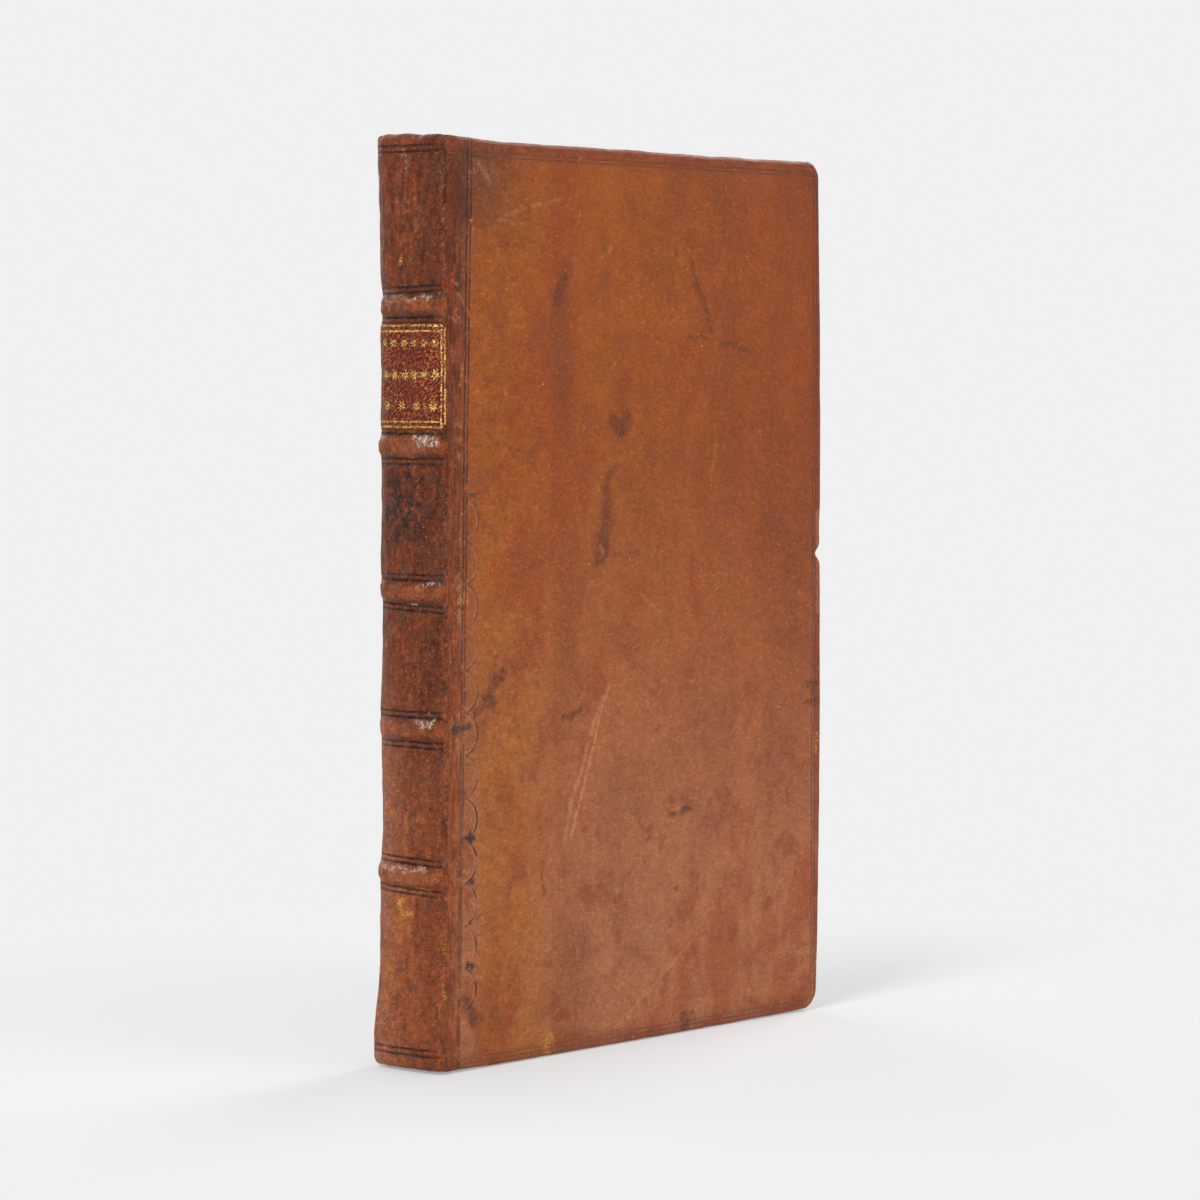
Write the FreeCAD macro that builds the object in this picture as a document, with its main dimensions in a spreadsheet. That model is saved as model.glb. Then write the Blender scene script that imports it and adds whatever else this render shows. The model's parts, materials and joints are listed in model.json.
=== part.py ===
import FreeCAD, Part
import os
import Sketcher
from FreeCAD import Placement, Rotation, Vector

# A slim octavo in full calf, standing on its tail. X runs from the spine to the
# fore-edge, Y across the thickness (front cover at -Y) and Z from tail to head.

# Driving sizes in millimetres: alias, value, what it sets.
SIZES = (
    ("cover_height", 206.0, "boards, tail to head"),
    ("cover_width", 128.4, "boards, joint to fore-edge"),
    ("book_thickness", 20.4, "outside of one cover to the other"),
    ("leather_thickness", 0.8, "calf on the spine and boards"),
    ("pasteboard_thickness", 2.4, "board under the leather"),
    ("turn_in_thickness", 0.4, "pared leather folded inside the board"),
    ("turn_in_width", 14.0, "turn-in, board edge to its own edge"),
    ("paper_thickness", 0.2, "pastedown and flyleaf"),
    ("pastedown_margin", 4.0, "board edge to pastedown"),
    ("leaf_clearance", 0.2, "pastedown to flyleaf, book closed"),
    ("square_head", 3.0, "board past the leaves at the head"),
    ("square_tail", 3.0, "board past the leaves at the tail"),
    ("square_fore", 3.0, "board past the leaves at the fore-edge"),
    ("fore_edge_hollow", 1.4, "depth of the rounded fore-edge"),
    ("joint_clearance", 0.3, "spine leather to board leather"),
    ("board_setback", 0.55, "hinge line to the board's back edge"),
    ("shoulder_clearance", 0.3, "shoulder to the board's back edge"),
    ("spine_round", 2.4, "how far the spine swells past the joints"),
    ("glue_line", 0.05, "paste between leather, leaves and cords"),
    ("headcap_rise", 0.4, "headcap above the boards"),
    ("headcap_depth", 3.2, "leather folded over the endbands"),
    ("headcap_round", 0.5, "rounding of the cap's outer edge"),
    ("band_width", 5.0, "raised band, foot to foot"),
    ("band_rise", 1.3, "raised band above the spine"),
    ("band_margin", 1.2, "end of a band to the cover's face"),
    ("head_compartment", 37.8, "head to the middle of the first band"),
    ("tail_compartment", 42.1, "tail to the middle of the fifth band"),
    ("second_band_shift", 0.5, "uneven sewing, second band"),
    ("third_band_shift", -0.25, "uneven sewing, third band"),
    ("fourth_band_shift", 1.0, "uneven sewing, fourth band"),
    ("label_gap", 0.85, "title label to the bands beside it"),
    ("label_thickness", 0.3, "pared leather of the title label"),
    ("label_margin", 0.8, "end of the label to the cover's face"),
    ("endband_clearance", 0.3, "endband to the cap above it"),
    ("slip_length", 12.0, "cord slip let into the board"),
    ("slip_width", 4.0, "frayed cord slip"),
    ("slip_thickness", 0.6, "frayed cord slip"),
    ("slip_peg", 2.0, "slip where it is laced through the board"),
    ("edge_round", 1.1, "leather rolled over the board's edges"),
    ("head_corner_round", 3.0, "fore-edge corner at the head"),
    ("tail_corner_round", 5.0, "worn fore-edge corner at the tail"),
    ("notch_depth", 1.5, "nick in the front board's fore-edge"),
    ("notch_radius", 2.2, "nick in the front board's fore-edge"),
    ("notch_place", 110.5, "tail to the middle of the nick"),
)

# Places that several pieces share, worked out from the sizes. Radii are taken
# about the upright axis on which the round of the spine is struck.
PLACES = (
    ("half_thickness", "dims.book_thickness / 2"),
    ("joint_x", "(dims.spine_round + dims.band_rise - dims.cover_width) / 2"),
    ("fore_x", "layout.joint_x + dims.cover_width"),
    ("board_back_x", "layout.joint_x + dims.board_setback"),
    ("shoulder_x", "layout.board_back_x - dims.shoulder_clearance"),
    ("spine_radius", "(layout.half_thickness^2 + dims.spine_round^2) / (2 * dims.spine_round)"),
    ("axis_x", "layout.joint_x - dims.spine_round + layout.spine_radius"),
    ("lining_radius", "layout.spine_radius - dims.leather_thickness"),
    ("back_radius", "layout.lining_radius - dims.glue_line"),
    ("cap_radius", "layout.lining_radius - dims.headcap_depth"),
    ("spine_turn", "2 * asin(layout.half_thickness / layout.spine_radius) / 1 deg"),
    ("paste_depth", "dims.leather_thickness + dims.pasteboard_thickness"),
    ("board_depth", "layout.paste_depth + dims.turn_in_thickness"),
    ("cover_depth", "layout.board_depth + dims.paper_thickness"),
    ("flyleaf_depth", "layout.cover_depth + dims.leaf_clearance"),
    ("block_half", "layout.half_thickness - layout.flyleaf_depth - dims.paper_thickness"),
    ("block_low", "dims.square_tail"),
    ("block_high", "dims.cover_height - dims.square_head"),
    ("block_fore_x", "layout.fore_x - dims.square_fore"),
    ("spine_top", "dims.cover_height + dims.headcap_rise"),
    ("cap_low", "layout.spine_top - dims.leather_thickness"),
    ("band_pitch", "(dims.cover_height - dims.head_compartment - dims.tail_compartment) / 4"),
    ("band_5", "dims.tail_compartment"),
    ("band_4", "dims.tail_compartment + layout.band_pitch + dims.fourth_band_shift"),
    ("band_3", "dims.tail_compartment + 2 * layout.band_pitch + dims.third_band_shift"),
    ("band_2", "dims.tail_compartment + 3 * layout.band_pitch + dims.second_band_shift"),
    ("band_1", "dims.cover_height - dims.head_compartment"),
    ("band_radius", "layout.spine_radius + dims.band_rise"),
    ("band_reach", "layout.half_thickness - dims.band_margin"),
    ("band_turn", "2 * asin(layout.band_reach / layout.band_radius) / 1 deg"),
    ("cord_radius", "layout.back_radius + dims.band_rise"),
    ("cord_width", "dims.band_width - 2 * dims.leather_thickness"),
    ("cord_reach", "layout.band_reach - dims.leather_thickness"),
    ("cord_turn", "2 * asin(layout.cord_reach / layout.cord_radius) / 1 deg"),
    ("channel_reach", "layout.cord_reach + dims.glue_line"),
    ("channel_turn", "2 * asin(layout.channel_reach / layout.cord_radius) / 1 deg"),
    ("label_radius", "layout.spine_radius + dims.label_thickness"),
    ("label_reach", "layout.half_thickness - dims.label_margin"),
    ("label_turn", "2 * asin(layout.label_reach / layout.label_radius) / 1 deg"),
    ("label_low", "layout.band_2 + dims.band_width / 2 + dims.label_gap"),
    ("label_high", "layout.band_1 - dims.band_width / 2 - dims.label_gap"),
    ("head_endband_size", "layout.cap_low - layout.block_high - dims.endband_clearance"),
    ("tail_endband_size", "layout.block_low - dims.leather_thickness - dims.endband_clearance"),
    ("endband_turn", "2 * asin(layout.block_half / layout.back_radius) / 1 deg"),
)

BANDS = (1, 2, 3, 4, 5)
SIDES = {"front": -1, "back": 1}
PAST = 5.0        # how far a cutting solid runs past the face that it cuts


def write_sizes(doc):
    """Puts the driving sizes in a spreadsheet, one named cell each."""
    sheet = doc.addObject("Spreadsheet::Sheet", "dims")
    for row, (alias, value, meaning) in enumerate(SIZES, start=1):
        sheet.set(f"A{row}", alias)
        sheet.set(f"B{row}", str(value))
        sheet.set(f"C{row}", meaning)
        sheet.setAlias(f"B{row}", alias)
    doc.recompute()
    return sheet


def work_out_places(doc):
    """Keeps the shared places in one object, each bound to the sizes."""
    layout = doc.addObject("App::FeaturePython", "layout")
    for name, expression in PLACES:
        layout.addProperty("App::PropertyFloat", name, "Places")
        layout.setExpression(name, expression)
    doc.recompute()
    return layout


def origin_feature(body, role):
    """Finds a plane or an axis of a body's own origin."""
    return next(feature for feature in body.Origin.OriginFeatures if feature.Role == role)


def new_body(doc, label):
    """Starts a body whose label names the piece."""
    body = doc.addObject("PartDesign::Body", label)
    body.Label = label
    return body


def upright_sketch(body, name):
    """Adds a sketch on the body's XZ plane."""
    sketch = body.newObject("Sketcher::SketchObject", name)
    sketch.AttachmentSupport = (origin_feature(body, "XZ_Plane"), "")
    sketch.MapMode = "FlatFace"
    return sketch


def value_of(owner, expression):
    """Works an expression out, for a sketch's starting geometry."""
    result = owner.evalExpression(expression)
    return float(getattr(result, "Value", result))


def fix_point(sketch, line, end, across, up):
    """Ties one end of a line to its two distances from the sketch's origin."""
    for kind, expression in (("DistanceX", across), ("DistanceY", up)):
        value = value_of(sketch, expression)
        index = sketch.addConstraint(Sketcher.Constraint(kind, -1, 1, line, end, value))
        sketch.setExpression(f"Constraints[{index}]", expression)


def draw_outline(sketch, corners):
    """Draws a closed outline of straight lines through corners bound to the sizes."""
    points = [Vector(value_of(sketch, across), value_of(sketch, up), 0) for across, up in corners]
    lines = [
        sketch.addGeometry(Part.LineSegment(start, end), False)
        for start, end in zip(points, points[1:] + points[:1])
    ]
    for line, following in zip(lines, lines[1:] + lines[:1]):
        sketch.addConstraint(Sketcher.Constraint("Coincident", line, 2, following, 1))
    for line, (across, up) in zip(lines, corners):
        fix_point(sketch, line, 1, across, up)


def draw_hump(sketch, foot_radius, rise, middle, width):
    """Draws a band's section: a chord at foot_radius and an arc that swells past it by rise."""
    across = f"-({foot_radius})"
    low, high = f"{middle} - ({width}) / 2", f"{middle} + ({width}) / 2"
    x = value_of(sketch, across)
    bottom = Vector(x, value_of(sketch, low), 0)
    top = Vector(x, value_of(sketch, high), 0)
    crown = Vector(x - value_of(sketch, rise), value_of(sketch, middle), 0)
    chord = sketch.addGeometry(Part.LineSegment(bottom, top), False)
    arc_shape = Part.Arc(top, crown, bottom)
    arc = sketch.addGeometry(arc_shape, False)
    drawn = sketch.Geometry[arc]
    starts_at_top = drawn.StartPoint.distanceToPoint(top) < drawn.StartPoint.distanceToPoint(bottom)
    top_end, bottom_end = (1, 2) if starts_at_top else (2, 1)
    sketch.addConstraint(Sketcher.Constraint("Coincident", chord, 2, arc, top_end))
    sketch.addConstraint(Sketcher.Constraint("Coincident", chord, 1, arc, bottom_end))
    fix_point(sketch, chord, 1, across, low)
    fix_point(sketch, chord, 2, across, high)
    radius = f"((({width}) / 2)^2 + ({rise})^2) / (2 * ({rise}))"
    index = sketch.addConstraint(Sketcher.Constraint("Radius", arc, value_of(sketch, radius)))
    sketch.setExpression(f"Constraints[{index}]", radius)


def draw_round(sketch, radius_place, height_place, diameter):
    """Draws an endband's section, a circle."""
    middle = Vector(-value_of(sketch, radius_place), value_of(sketch, height_place), 0)
    size = value_of(sketch, diameter) / 2
    circle = sketch.addGeometry(Part.Circle(middle, Vector(0, 0, 1), size), False)
    fix_point(sketch, circle, 3, f"-({radius_place})", height_place)
    index = sketch.addConstraint(Sketcher.Constraint("Radius", circle, size))
    sketch.setExpression(f"Constraints[{index}]", f"({diameter}) / 2")


def turn_about_spine(body, kind, name, sketch, turn):
    """Turns a section about the spine's axis, evenly to both sides of the middle."""
    feature = body.newObject(kind, name)
    feature.Profile = sketch
    feature.ReferenceAxis = (origin_feature(body, "Z_Axis"), [""])
    feature.Midplane = True
    feature.setExpression("Angle", turn)
    sketch.Visibility = False
    return feature


def bind(target, bindings):
    """Binds properties to expressions."""
    for name, expression in bindings.items():
        target.setExpression(name, str(expression))


def size_box(box, x, y, z):
    """Binds a box to a start and a length along each axis."""
    bind(box, {
        "Placement.Base.x": x[0], "Length": x[1],
        "Placement.Base.y": y[0], "Width": y[1],
        "Placement.Base.z": z[0], "Height": z[1],
    })


def block(body, kind, name, x, y, z):
    """Adds or takes away a box in a body, by a start and a length along each axis."""
    box = body.newObject(kind, name)
    size_box(box, x, y, z)
    return box


def span(start, end):
    """A start and the length from there to an end."""
    return start, f"({end}) - ({start})"


def layer(side, depth, thickness):
    """Where a layer of a cover starts along Y: depth is taken from the cover's outer face."""
    if SIDES[side] < 0:
        return f"-layout.half_thickness + ({depth})", thickness
    return f"layout.half_thickness - ({depth}) - ({thickness})", thickness


def round_edges(body, name, radius, chosen):
    """Rounds the edges of the body's last shape that the test chooses."""
    body.Document.recompute()
    tip = body.Tip
    names = [f"Edge{i}" for i, edge in enumerate(tip.Shape.Edges, start=1) if chosen(edge)]
    fillet = body.newObject("PartDesign::Fillet", name)
    fillet.Base = (tip, names)
    fillet.setExpression("Radius", radius)
    return fillet


def near(first, second, tolerance=1e-4):
    """True where two measures agree."""
    return abs(first - second) < tolerance


def make_text_block(doc, layout):
    """The sewn leaves: rounded and shouldered at the spine, hollow at the fore-edge."""
    height = span("layout.block_low", "layout.block_high")
    leaves = doc.addObject("Part::Box", "leaves")
    size_box(leaves, span("layout.joint_x", "layout.block_fore_x"),
             span("-layout.block_half", "layout.block_half"), height)

    rounding = doc.addObject("Part::Cylinder", "spine_rounding")
    bind(rounding, {
        "Placement.Base.x": "layout.axis_x", "Placement.Base.z": "layout.block_low",
        "Radius": "layout.back_radius", "Height": height[1],
    })
    backing = doc.addObject("Part::Box", "shoulder_limit")
    size_box(backing, span("layout.axis_x - layout.spine_radius", "layout.shoulder_x"),
             span("-layout.half_thickness", "layout.half_thickness"), height)
    shoulders = doc.addObject("Part::Common", "shoulders")
    shoulders.Base, shoulders.Tool = rounding, backing
    whole = doc.addObject("Part::Fuse", "rounded_leaves")
    whole.Base, whole.Tool = leaves, shoulders
    whole.Refine = True

    hollow = doc.addObject("Part::Cylinder", "fore_edge_round")
    hollow_radius = "(layout.block_half^2 + dims.fore_edge_hollow^2) / (2 * dims.fore_edge_hollow)"
    bind(hollow, {
        "Placement.Base.x": f"layout.block_fore_x - dims.fore_edge_hollow + {hollow_radius}",
        "Placement.Base.z": f"layout.block_low - {PAST}",
        "Radius": hollow_radius, "Height": f"{height[1]} + {2 * PAST}",
    })
    text_block = doc.addObject("Part::Cut", "text_block")
    text_block.Base, text_block.Tool = whole, hollow
    return [text_block]


def make_flyleaf(doc, side):
    """A free leaf against the text block, from the shoulder to the fore-edge."""
    label = f"{side}_flyleaf"
    leaf = doc.addObject("Part::Box", label)
    size_box(leaf, span("layout.board_back_x", "layout.block_fore_x"),
             layer(side, "layout.flyleaf_depth", "dims.paper_thickness"),
             span("layout.block_low", "layout.block_high"))
    return leaf


def spine_body(doc, label):
    """A body whose Z axis is the axis of the spine's round."""
    body = new_body(doc, label)
    body.setExpression("Placement.Base.x", "layout.axis_x")
    return body


def make_sewing_cord(doc, band):
    """One cord that the leaves are sewn to, flattened on the back of the text block."""
    body = spine_body(doc, f"sewing_cord_{band}")
    sketch = upright_sketch(body, f"cord_section_{band}")
    draw_hump(sketch, "layout.back_radius + dims.glue_line / 2", "dims.band_rise - dims.glue_line",
              f"layout.band_{band}", "layout.cord_width")
    turn_about_spine(body, "PartDesign::Revolution", f"cord_run_{band}", sketch, "layout.cord_turn")
    return body


def make_endband(doc, end, outward, foot):
    """A sewn endband on the end of the text block, under the cap."""
    size = f"layout.{end}_endband_size"
    body = spine_body(doc, f"{end}_endband")
    sketch = upright_sketch(body, f"{end}_endband_section")
    draw_round(sketch, f"layout.back_radius - dims.glue_line - {size} / 2",
               f"{foot} {outward} ({size} / 2 + dims.glue_line)", size)
    turn_about_spine(body, "PartDesign::Revolution", f"{end}_endband_run", sketch,
                     "layout.endband_turn")
    return body


def make_spine_leather(doc, layout):
    """The spine's calf: wall, head and tail caps, and the bands moulded over the cords."""
    body = spine_body(doc, "spine_leather")
    wall = upright_sketch(body, "spine_wall_section")
    outer, inner, cap = "-layout.spine_radius", "-layout.lining_radius", "-layout.cap_radius"
    tail_fold = "dims.leather_thickness"
    draw_outline(wall, [
        (outer, "0"), (cap, "0"), (cap, tail_fold), (inner, tail_fold),
        (inner, "layout.cap_low"), (cap, "layout.cap_low"), (cap, "layout.spine_top"),
        (outer, "layout.spine_top"),
    ])
    turn_about_spine(body, "PartDesign::Revolution", "spine_wall", wall, "layout.spine_turn")

    humps = upright_sketch(body, "band_sections")
    foot = "layout.spine_radius - dims.leather_thickness / 2"
    for band in BANDS:
        draw_hump(humps, foot, "dims.band_rise + dims.leather_thickness / 2",
                  f"layout.band_{band}", "dims.band_width")
    turn_about_spine(body, "PartDesign::Revolution", "raised_bands", humps, "layout.band_turn")

    channels = upright_sketch(body, "cord_channel_sections")
    for band in BANDS:
        draw_hump(channels, "layout.back_radius", "dims.band_rise + dims.glue_line",
                  f"layout.band_{band}", "layout.cord_width + 2 * dims.glue_line")
    turn_about_spine(body, "PartDesign::Groove", "cord_channels", channels, "layout.channel_turn")

    # The wall stops short of the hinge line, so that the covers can swing past it.
    edge_x = "layout.joint_x - dims.joint_clearance / 2 - layout.axis_x"
    past_joint = (edge_x, f"layout.axis_x - layout.joint_x + {PAST}")
    full_height = (f"-{PAST}", f"layout.spine_top + {2 * PAST}")
    for side in SIDES:
        block(body, "PartDesign::SubtractiveBox", f"{side}_joint_trim", past_joint,
              layer(side, f"-{PAST}", f"layout.flyleaf_depth + {PAST}"), full_height)

    top, radius = layout.spine_top, layout.spine_radius

    def is_cap_rim(edge):
        level = edge.BoundBox.ZMin
        flat = near(level, edge.BoundBox.ZMax) and (near(level, 0) or near(level, top))
        return flat and hasattr(edge.Curve, "Radius") and near(edge.Curve.Radius, radius)

    round_edges(body, "cap_rims", "min(dims.headcap_round, dims.leather_thickness * 0.7)", is_cap_rim)
    return body


def make_title_label(doc):
    """A thin leather label pasted round the second compartment."""
    body = spine_body(doc, "title_label")
    sketch = upright_sketch(body, "label_section")
    outer, inner = "-layout.label_radius", "-layout.spine_radius"
    draw_outline(sketch, [
        (outer, "layout.label_low"), (inner, "layout.label_low"),
        (inner, "layout.label_high"), (outer, "layout.label_high"),
    ])
    turn_about_spine(body, "PartDesign::Revolution", "label_run", sketch, "layout.label_turn")
    return body


def make_book_block(doc, layout):
    """Everything that the two covers swing on."""
    pieces = make_text_block(doc, layout)
    pieces += [make_flyleaf(doc, side) for side in SIDES]
    pieces += [make_sewing_cord(doc, band) for band in BANDS]
    pieces.append(make_endband(doc, "head", "+", "layout.block_high"))
    pieces.append(make_endband(doc, "tail", "-", "layout.block_low"))
    pieces.append(make_spine_leather(doc, layout))
    pieces.append(make_title_label(doc))
    return pieces


def round_corners(body, side, inset, fore_x, height):
    """Rounds a board's two fore-edge corners, inset from the leather's own corners."""
    def corner(low):
        def chosen(edge):
            box = edge.BoundBox
            upright = near(box.XMin, box.XMax) and near(box.ZMin, box.ZMax) and near(box.XMin, fore_x)
            return upright and near(box.ZMin, low)
        return chosen

    round_edges(body, f"{side}_head_corner{inset[0]}", f"dims.head_corner_round - {inset[1]}",
                corner(height[1]))
    round_edges(body, f"{side}_tail_corner{inset[0]}", f"dims.tail_corner_round - {inset[1]}",
                corner(height[0]))


def cut_notch(body, side):
    """Takes the nick out of the fore-edge, right through the cover's thickness."""
    notch = body.newObject("PartDesign::SubtractiveCylinder", f"{body.Label}_nick")
    notch.Placement = Placement(Vector(), Rotation(Vector(1, 0, 0), -90))
    start, length = layer(side, f"-{PAST}", f"layout.board_depth + {2 * PAST}")
    bind(notch, {
        "Placement.Base.x": "layout.fore_x - dims.notch_depth + dims.notch_radius",
        "Placement.Base.y": start, "Placement.Base.z": "dims.notch_place",
        "Radius": "dims.notch_radius", "Height": length,
    })


def make_board_blank(doc, layout, sheet, side):
    """The pasteboard before its cord slips are let in."""
    body = new_body(doc, f"{side}_board_blank")
    leather = "dims.leather_thickness"
    block(body, "PartDesign::AdditiveBox", f"{side}_pasteboard",
          span("layout.board_back_x", f"layout.fore_x - {leather}"),
          layer(side, leather, "dims.pasteboard_thickness"),
          span(leather, f"dims.cover_height - {leather}"))
    wall = sheet.leather_thickness
    round_corners(body, side, ("_inside", leather), layout.fore_x - wall,
                  (wall, sheet.cover_height - wall))
    if side == "front":
        cut_notch(body, side)
    return body


def make_leather_blank(doc, layout, sheet, side):
    """The board's calf with its rolled edges and turn-ins, before the board is let in."""
    body = new_body(doc, f"{side}_leather_blank")
    leather_x = "layout.joint_x + dims.joint_clearance / 2"
    height = ("0", "dims.cover_height")
    block(body, "PartDesign::AdditiveBox", f"{side}_calf",
          span(leather_x, "layout.fore_x"), layer(side, "0", "layout.board_depth"), height)
    round_corners(body, side, ("", "0"), layout.fore_x, (0, sheet.cover_height))

    back_x = layout.joint_x + sheet.joint_clearance / 2
    outer = SIDES[side] * layout.half_thickness
    inner = outer - SIDES[side] * layout.board_depth

    def is_rim(edge):
        box = edge.BoundBox
        on_face = near(box.YMin, box.YMax) and (near(box.YMin, outer) or near(box.YMin, inner))
        return on_face and not near(box.XMax, back_x)

    round_edges(body, f"{side}_rims", "min(dims.edge_round, layout.board_depth * 0.45)", is_rim)

    past_back = f"layout.joint_x - {PAST}"
    block(body, "PartDesign::SubtractiveBox", f"{side}_back_edge",
          span(past_back, "layout.board_back_x"),
          layer(side, "dims.leather_thickness", f"layout.board_depth + {PAST}"),
          (f"-{PAST}", f"dims.cover_height + {2 * PAST}"))
    block(body, "PartDesign::SubtractiveBox", f"{side}_turn_in_window",
          span(past_back, "layout.fore_x - dims.turn_in_width"),
          layer(side, "layout.paste_depth", f"dims.turn_in_thickness + {PAST}"),
          span("dims.turn_in_width", "dims.cover_height - dims.turn_in_width"))
    if side == "front":
        cut_notch(body, side)
    return body


def make_cord_slips(doc, side):
    """The frayed ends of the cords, let into the board and laced through it."""
    body = new_body(doc, f"{side}_cord_slips")
    body.AllowCompound = True
    for band in BANDS:
        middle = f"layout.band_{band}"
        block(body, "PartDesign::AdditiveBox", f"{side}_slip_{band}",
              ("layout.board_back_x", "dims.slip_length"),
              layer(side, "dims.leather_thickness", "dims.slip_thickness"),
              (f"{middle} - dims.slip_width / 2", "dims.slip_width"))
        peg = body.newObject("PartDesign::AdditiveCylinder", f"{side}_peg_{band}")
        peg.Placement = Placement(Vector(), Rotation(Vector(1, 0, 0), -90))
        start, length = layer(side, "dims.leather_thickness", "dims.pasteboard_thickness")
        bind(peg, {
            "Placement.Base.x": "layout.board_back_x + dims.slip_length - dims.slip_width / 2",
            "Placement.Base.y": start, "Placement.Base.z": middle,
            "Radius": "dims.slip_peg / 2", "Height": length,
        })
    return body


def make_pastedown(doc, side):
    """The sheet pasted inside the cover, which steps down inside the turn-ins."""
    body = new_body(doc, f"{side}_pastedown")
    margin, turn_in = "dims.pastedown_margin", "dims.turn_in_width"
    back_x, paper = "layout.board_back_x", "dims.paper_thickness"
    step = f"layout.cover_depth - layout.paste_depth"
    block(body, "PartDesign::AdditiveBox", f"{side}_sheet",
          span(back_x, f"layout.fore_x - {margin}"), layer(side, "layout.board_depth", paper),
          span(margin, f"dims.cover_height - {margin}"))
    block(body, "PartDesign::AdditiveBox", f"{side}_step",
          span(back_x, f"layout.fore_x - {turn_in}"), layer(side, "layout.paste_depth", step),
          span(turn_in, f"dims.cover_height - {turn_in}"))
    block(body, "PartDesign::SubtractiveBox", f"{side}_sunk_field",
          span(f"layout.joint_x - {PAST}", f"layout.fore_x - {turn_in} - {paper}"),
          layer(side, f"layout.paste_depth + {paper}", f"{step} + {PAST}"),
          span(f"{turn_in} + {paper}", f"dims.cover_height - {turn_in} - {paper}"))
    return body


def make_cover(doc, layout, sheet, side):
    """One cover: pasteboard, laced cord slips, leather and pastedown."""
    board_blank = make_board_blank(doc, layout, sheet, side)
    leather_blank = make_leather_blank(doc, layout, sheet, side)
    slips = make_cord_slips(doc, side)
    board = doc.addObject("Part::Cut", f"{side}_board")
    board.Base, board.Tool = board_blank, slips
    leather = doc.addObject("Part::Cut", f"{side}_board_leather")
    leather.Base, leather.Tool = leather_blank, board_blank
    return [board, leather, slips, make_pastedown(doc, side)]


def check_model(doc, pieces):
    """Stops where an object failed or a piece has no sound shape."""
    for item in doc.Objects:
        if {"Invalid", "Error"} & set(item.State):
            raise RuntimeError(f"{item.Name} failed: {item.State}")
    for piece in pieces:
        shape = piece.Shape
        if shape.isNull() or not shape.isValid() or not shape.Solids:
            raise RuntimeError(f"{piece.Label} has no valid solid")


def export_pieces(pieces):
    """Writes each piece to a file that its label names."""
    os.makedirs("parts", exist_ok=True)
    for piece in pieces:
        piece.Shape.exportStep(f"parts/{piece.Label}.step")
        solids = len(piece.Shape.Solids)
        print(f"{piece.Label}: {solids} solid(s), {piece.Shape.Volume:.1f} cubic mm")


def main():
    """Builds the whole book and writes its pieces."""
    doc = FreeCAD.newDocument("antique_book")
    sheet = write_sizes(doc)
    layout = work_out_places(doc)
    pieces = make_book_block(doc, layout)
    for side in SIDES:
        pieces += make_cover(doc, layout, sheet, side)
    doc.recompute()
    check_model(doc, pieces)
    export_pieces(pieces)


main()
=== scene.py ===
"""An antique book in full tan calf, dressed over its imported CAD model.

Sizes are in millimetres in the code below and become metres when a mesh is made.
Row frame: X runs from the spine to the fore-edge, the front cover faces -Y, Z is up.
"""

import json
import math

import bmesh
import bpy
import numpy as np
from mathutils import Matrix, Vector


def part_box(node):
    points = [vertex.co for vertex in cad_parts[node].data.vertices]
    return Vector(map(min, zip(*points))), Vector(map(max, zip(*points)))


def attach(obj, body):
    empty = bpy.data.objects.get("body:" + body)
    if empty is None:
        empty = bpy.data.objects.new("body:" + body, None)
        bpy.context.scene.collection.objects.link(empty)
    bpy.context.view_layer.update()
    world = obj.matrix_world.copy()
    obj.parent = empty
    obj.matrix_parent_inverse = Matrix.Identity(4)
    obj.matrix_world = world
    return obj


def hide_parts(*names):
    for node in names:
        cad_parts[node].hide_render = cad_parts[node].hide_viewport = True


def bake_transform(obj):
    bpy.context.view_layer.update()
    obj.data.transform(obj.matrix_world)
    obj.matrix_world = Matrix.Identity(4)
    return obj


bl_info = {
    "name": "Antique calf book",
    "version": (1, 0, 0),
    "blender": (4, 5, 0),
    "location": "3D View > Sidebar > Calf Book",
    "description": "Dresses the packed model of an antique calf binding",
    "category": "Add Mesh",
}

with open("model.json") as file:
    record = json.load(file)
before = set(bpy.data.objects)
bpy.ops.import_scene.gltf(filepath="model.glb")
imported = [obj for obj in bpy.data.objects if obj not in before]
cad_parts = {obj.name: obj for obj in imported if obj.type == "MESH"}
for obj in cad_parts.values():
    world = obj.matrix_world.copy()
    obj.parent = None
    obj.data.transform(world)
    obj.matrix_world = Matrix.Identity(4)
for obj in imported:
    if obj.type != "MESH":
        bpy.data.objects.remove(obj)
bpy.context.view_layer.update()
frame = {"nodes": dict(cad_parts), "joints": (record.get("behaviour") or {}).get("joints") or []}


def node_box(name):
    low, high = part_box(name)
    return np.array(low) * 1000, np.array(high) * 1000


BOARD_LOW, BOARD_HIGH = node_box("front_board_leather")
BLOCK_LOW, BLOCK_HIGH = node_box("text_block")
LABEL_LOW, LABEL_HIGH = node_box("title_label")
JOINT = frame["joints"][0]["pos_m"][0] * 1000
HALF = BOARD_LOW[1] * -1
FORE = BOARD_HIGH[0]
WIDTH = FORE - JOINT
HEIGHT = BOARD_HIGH[2]
SPINE_ROUND = 22.875
AXIS = JOINT + math.sqrt(SPINE_ROUND ** 2 - HALF ** 2)
SPINE_REACH = math.asin(HALF / SPINE_ROUND) * SPINE_ROUND
BANDS = [sum(b[2] for b in node_box(f"sewing_cord_{n}")) / 2 + 1.4 for n in (1, 2, 3, 4, 5)]
# Tilt of the blind pairs above and below each band, in height per distance round the spine.
TILTS = [(-0.034, 0.0), (0.0, 0.0), (0.0, 0.035), (0.0, 0.01), (0.03, 0.045)]
HEAD_RULES = (HEIGHT - 1.5, HEIGHT - 2.8)
TAIL_RULES = (5.3, 3.95)
# Height, depth and half width of the nick in the front board's fore-edge.
NOTCH = (111.4, 1.8, 2.3)
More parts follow.
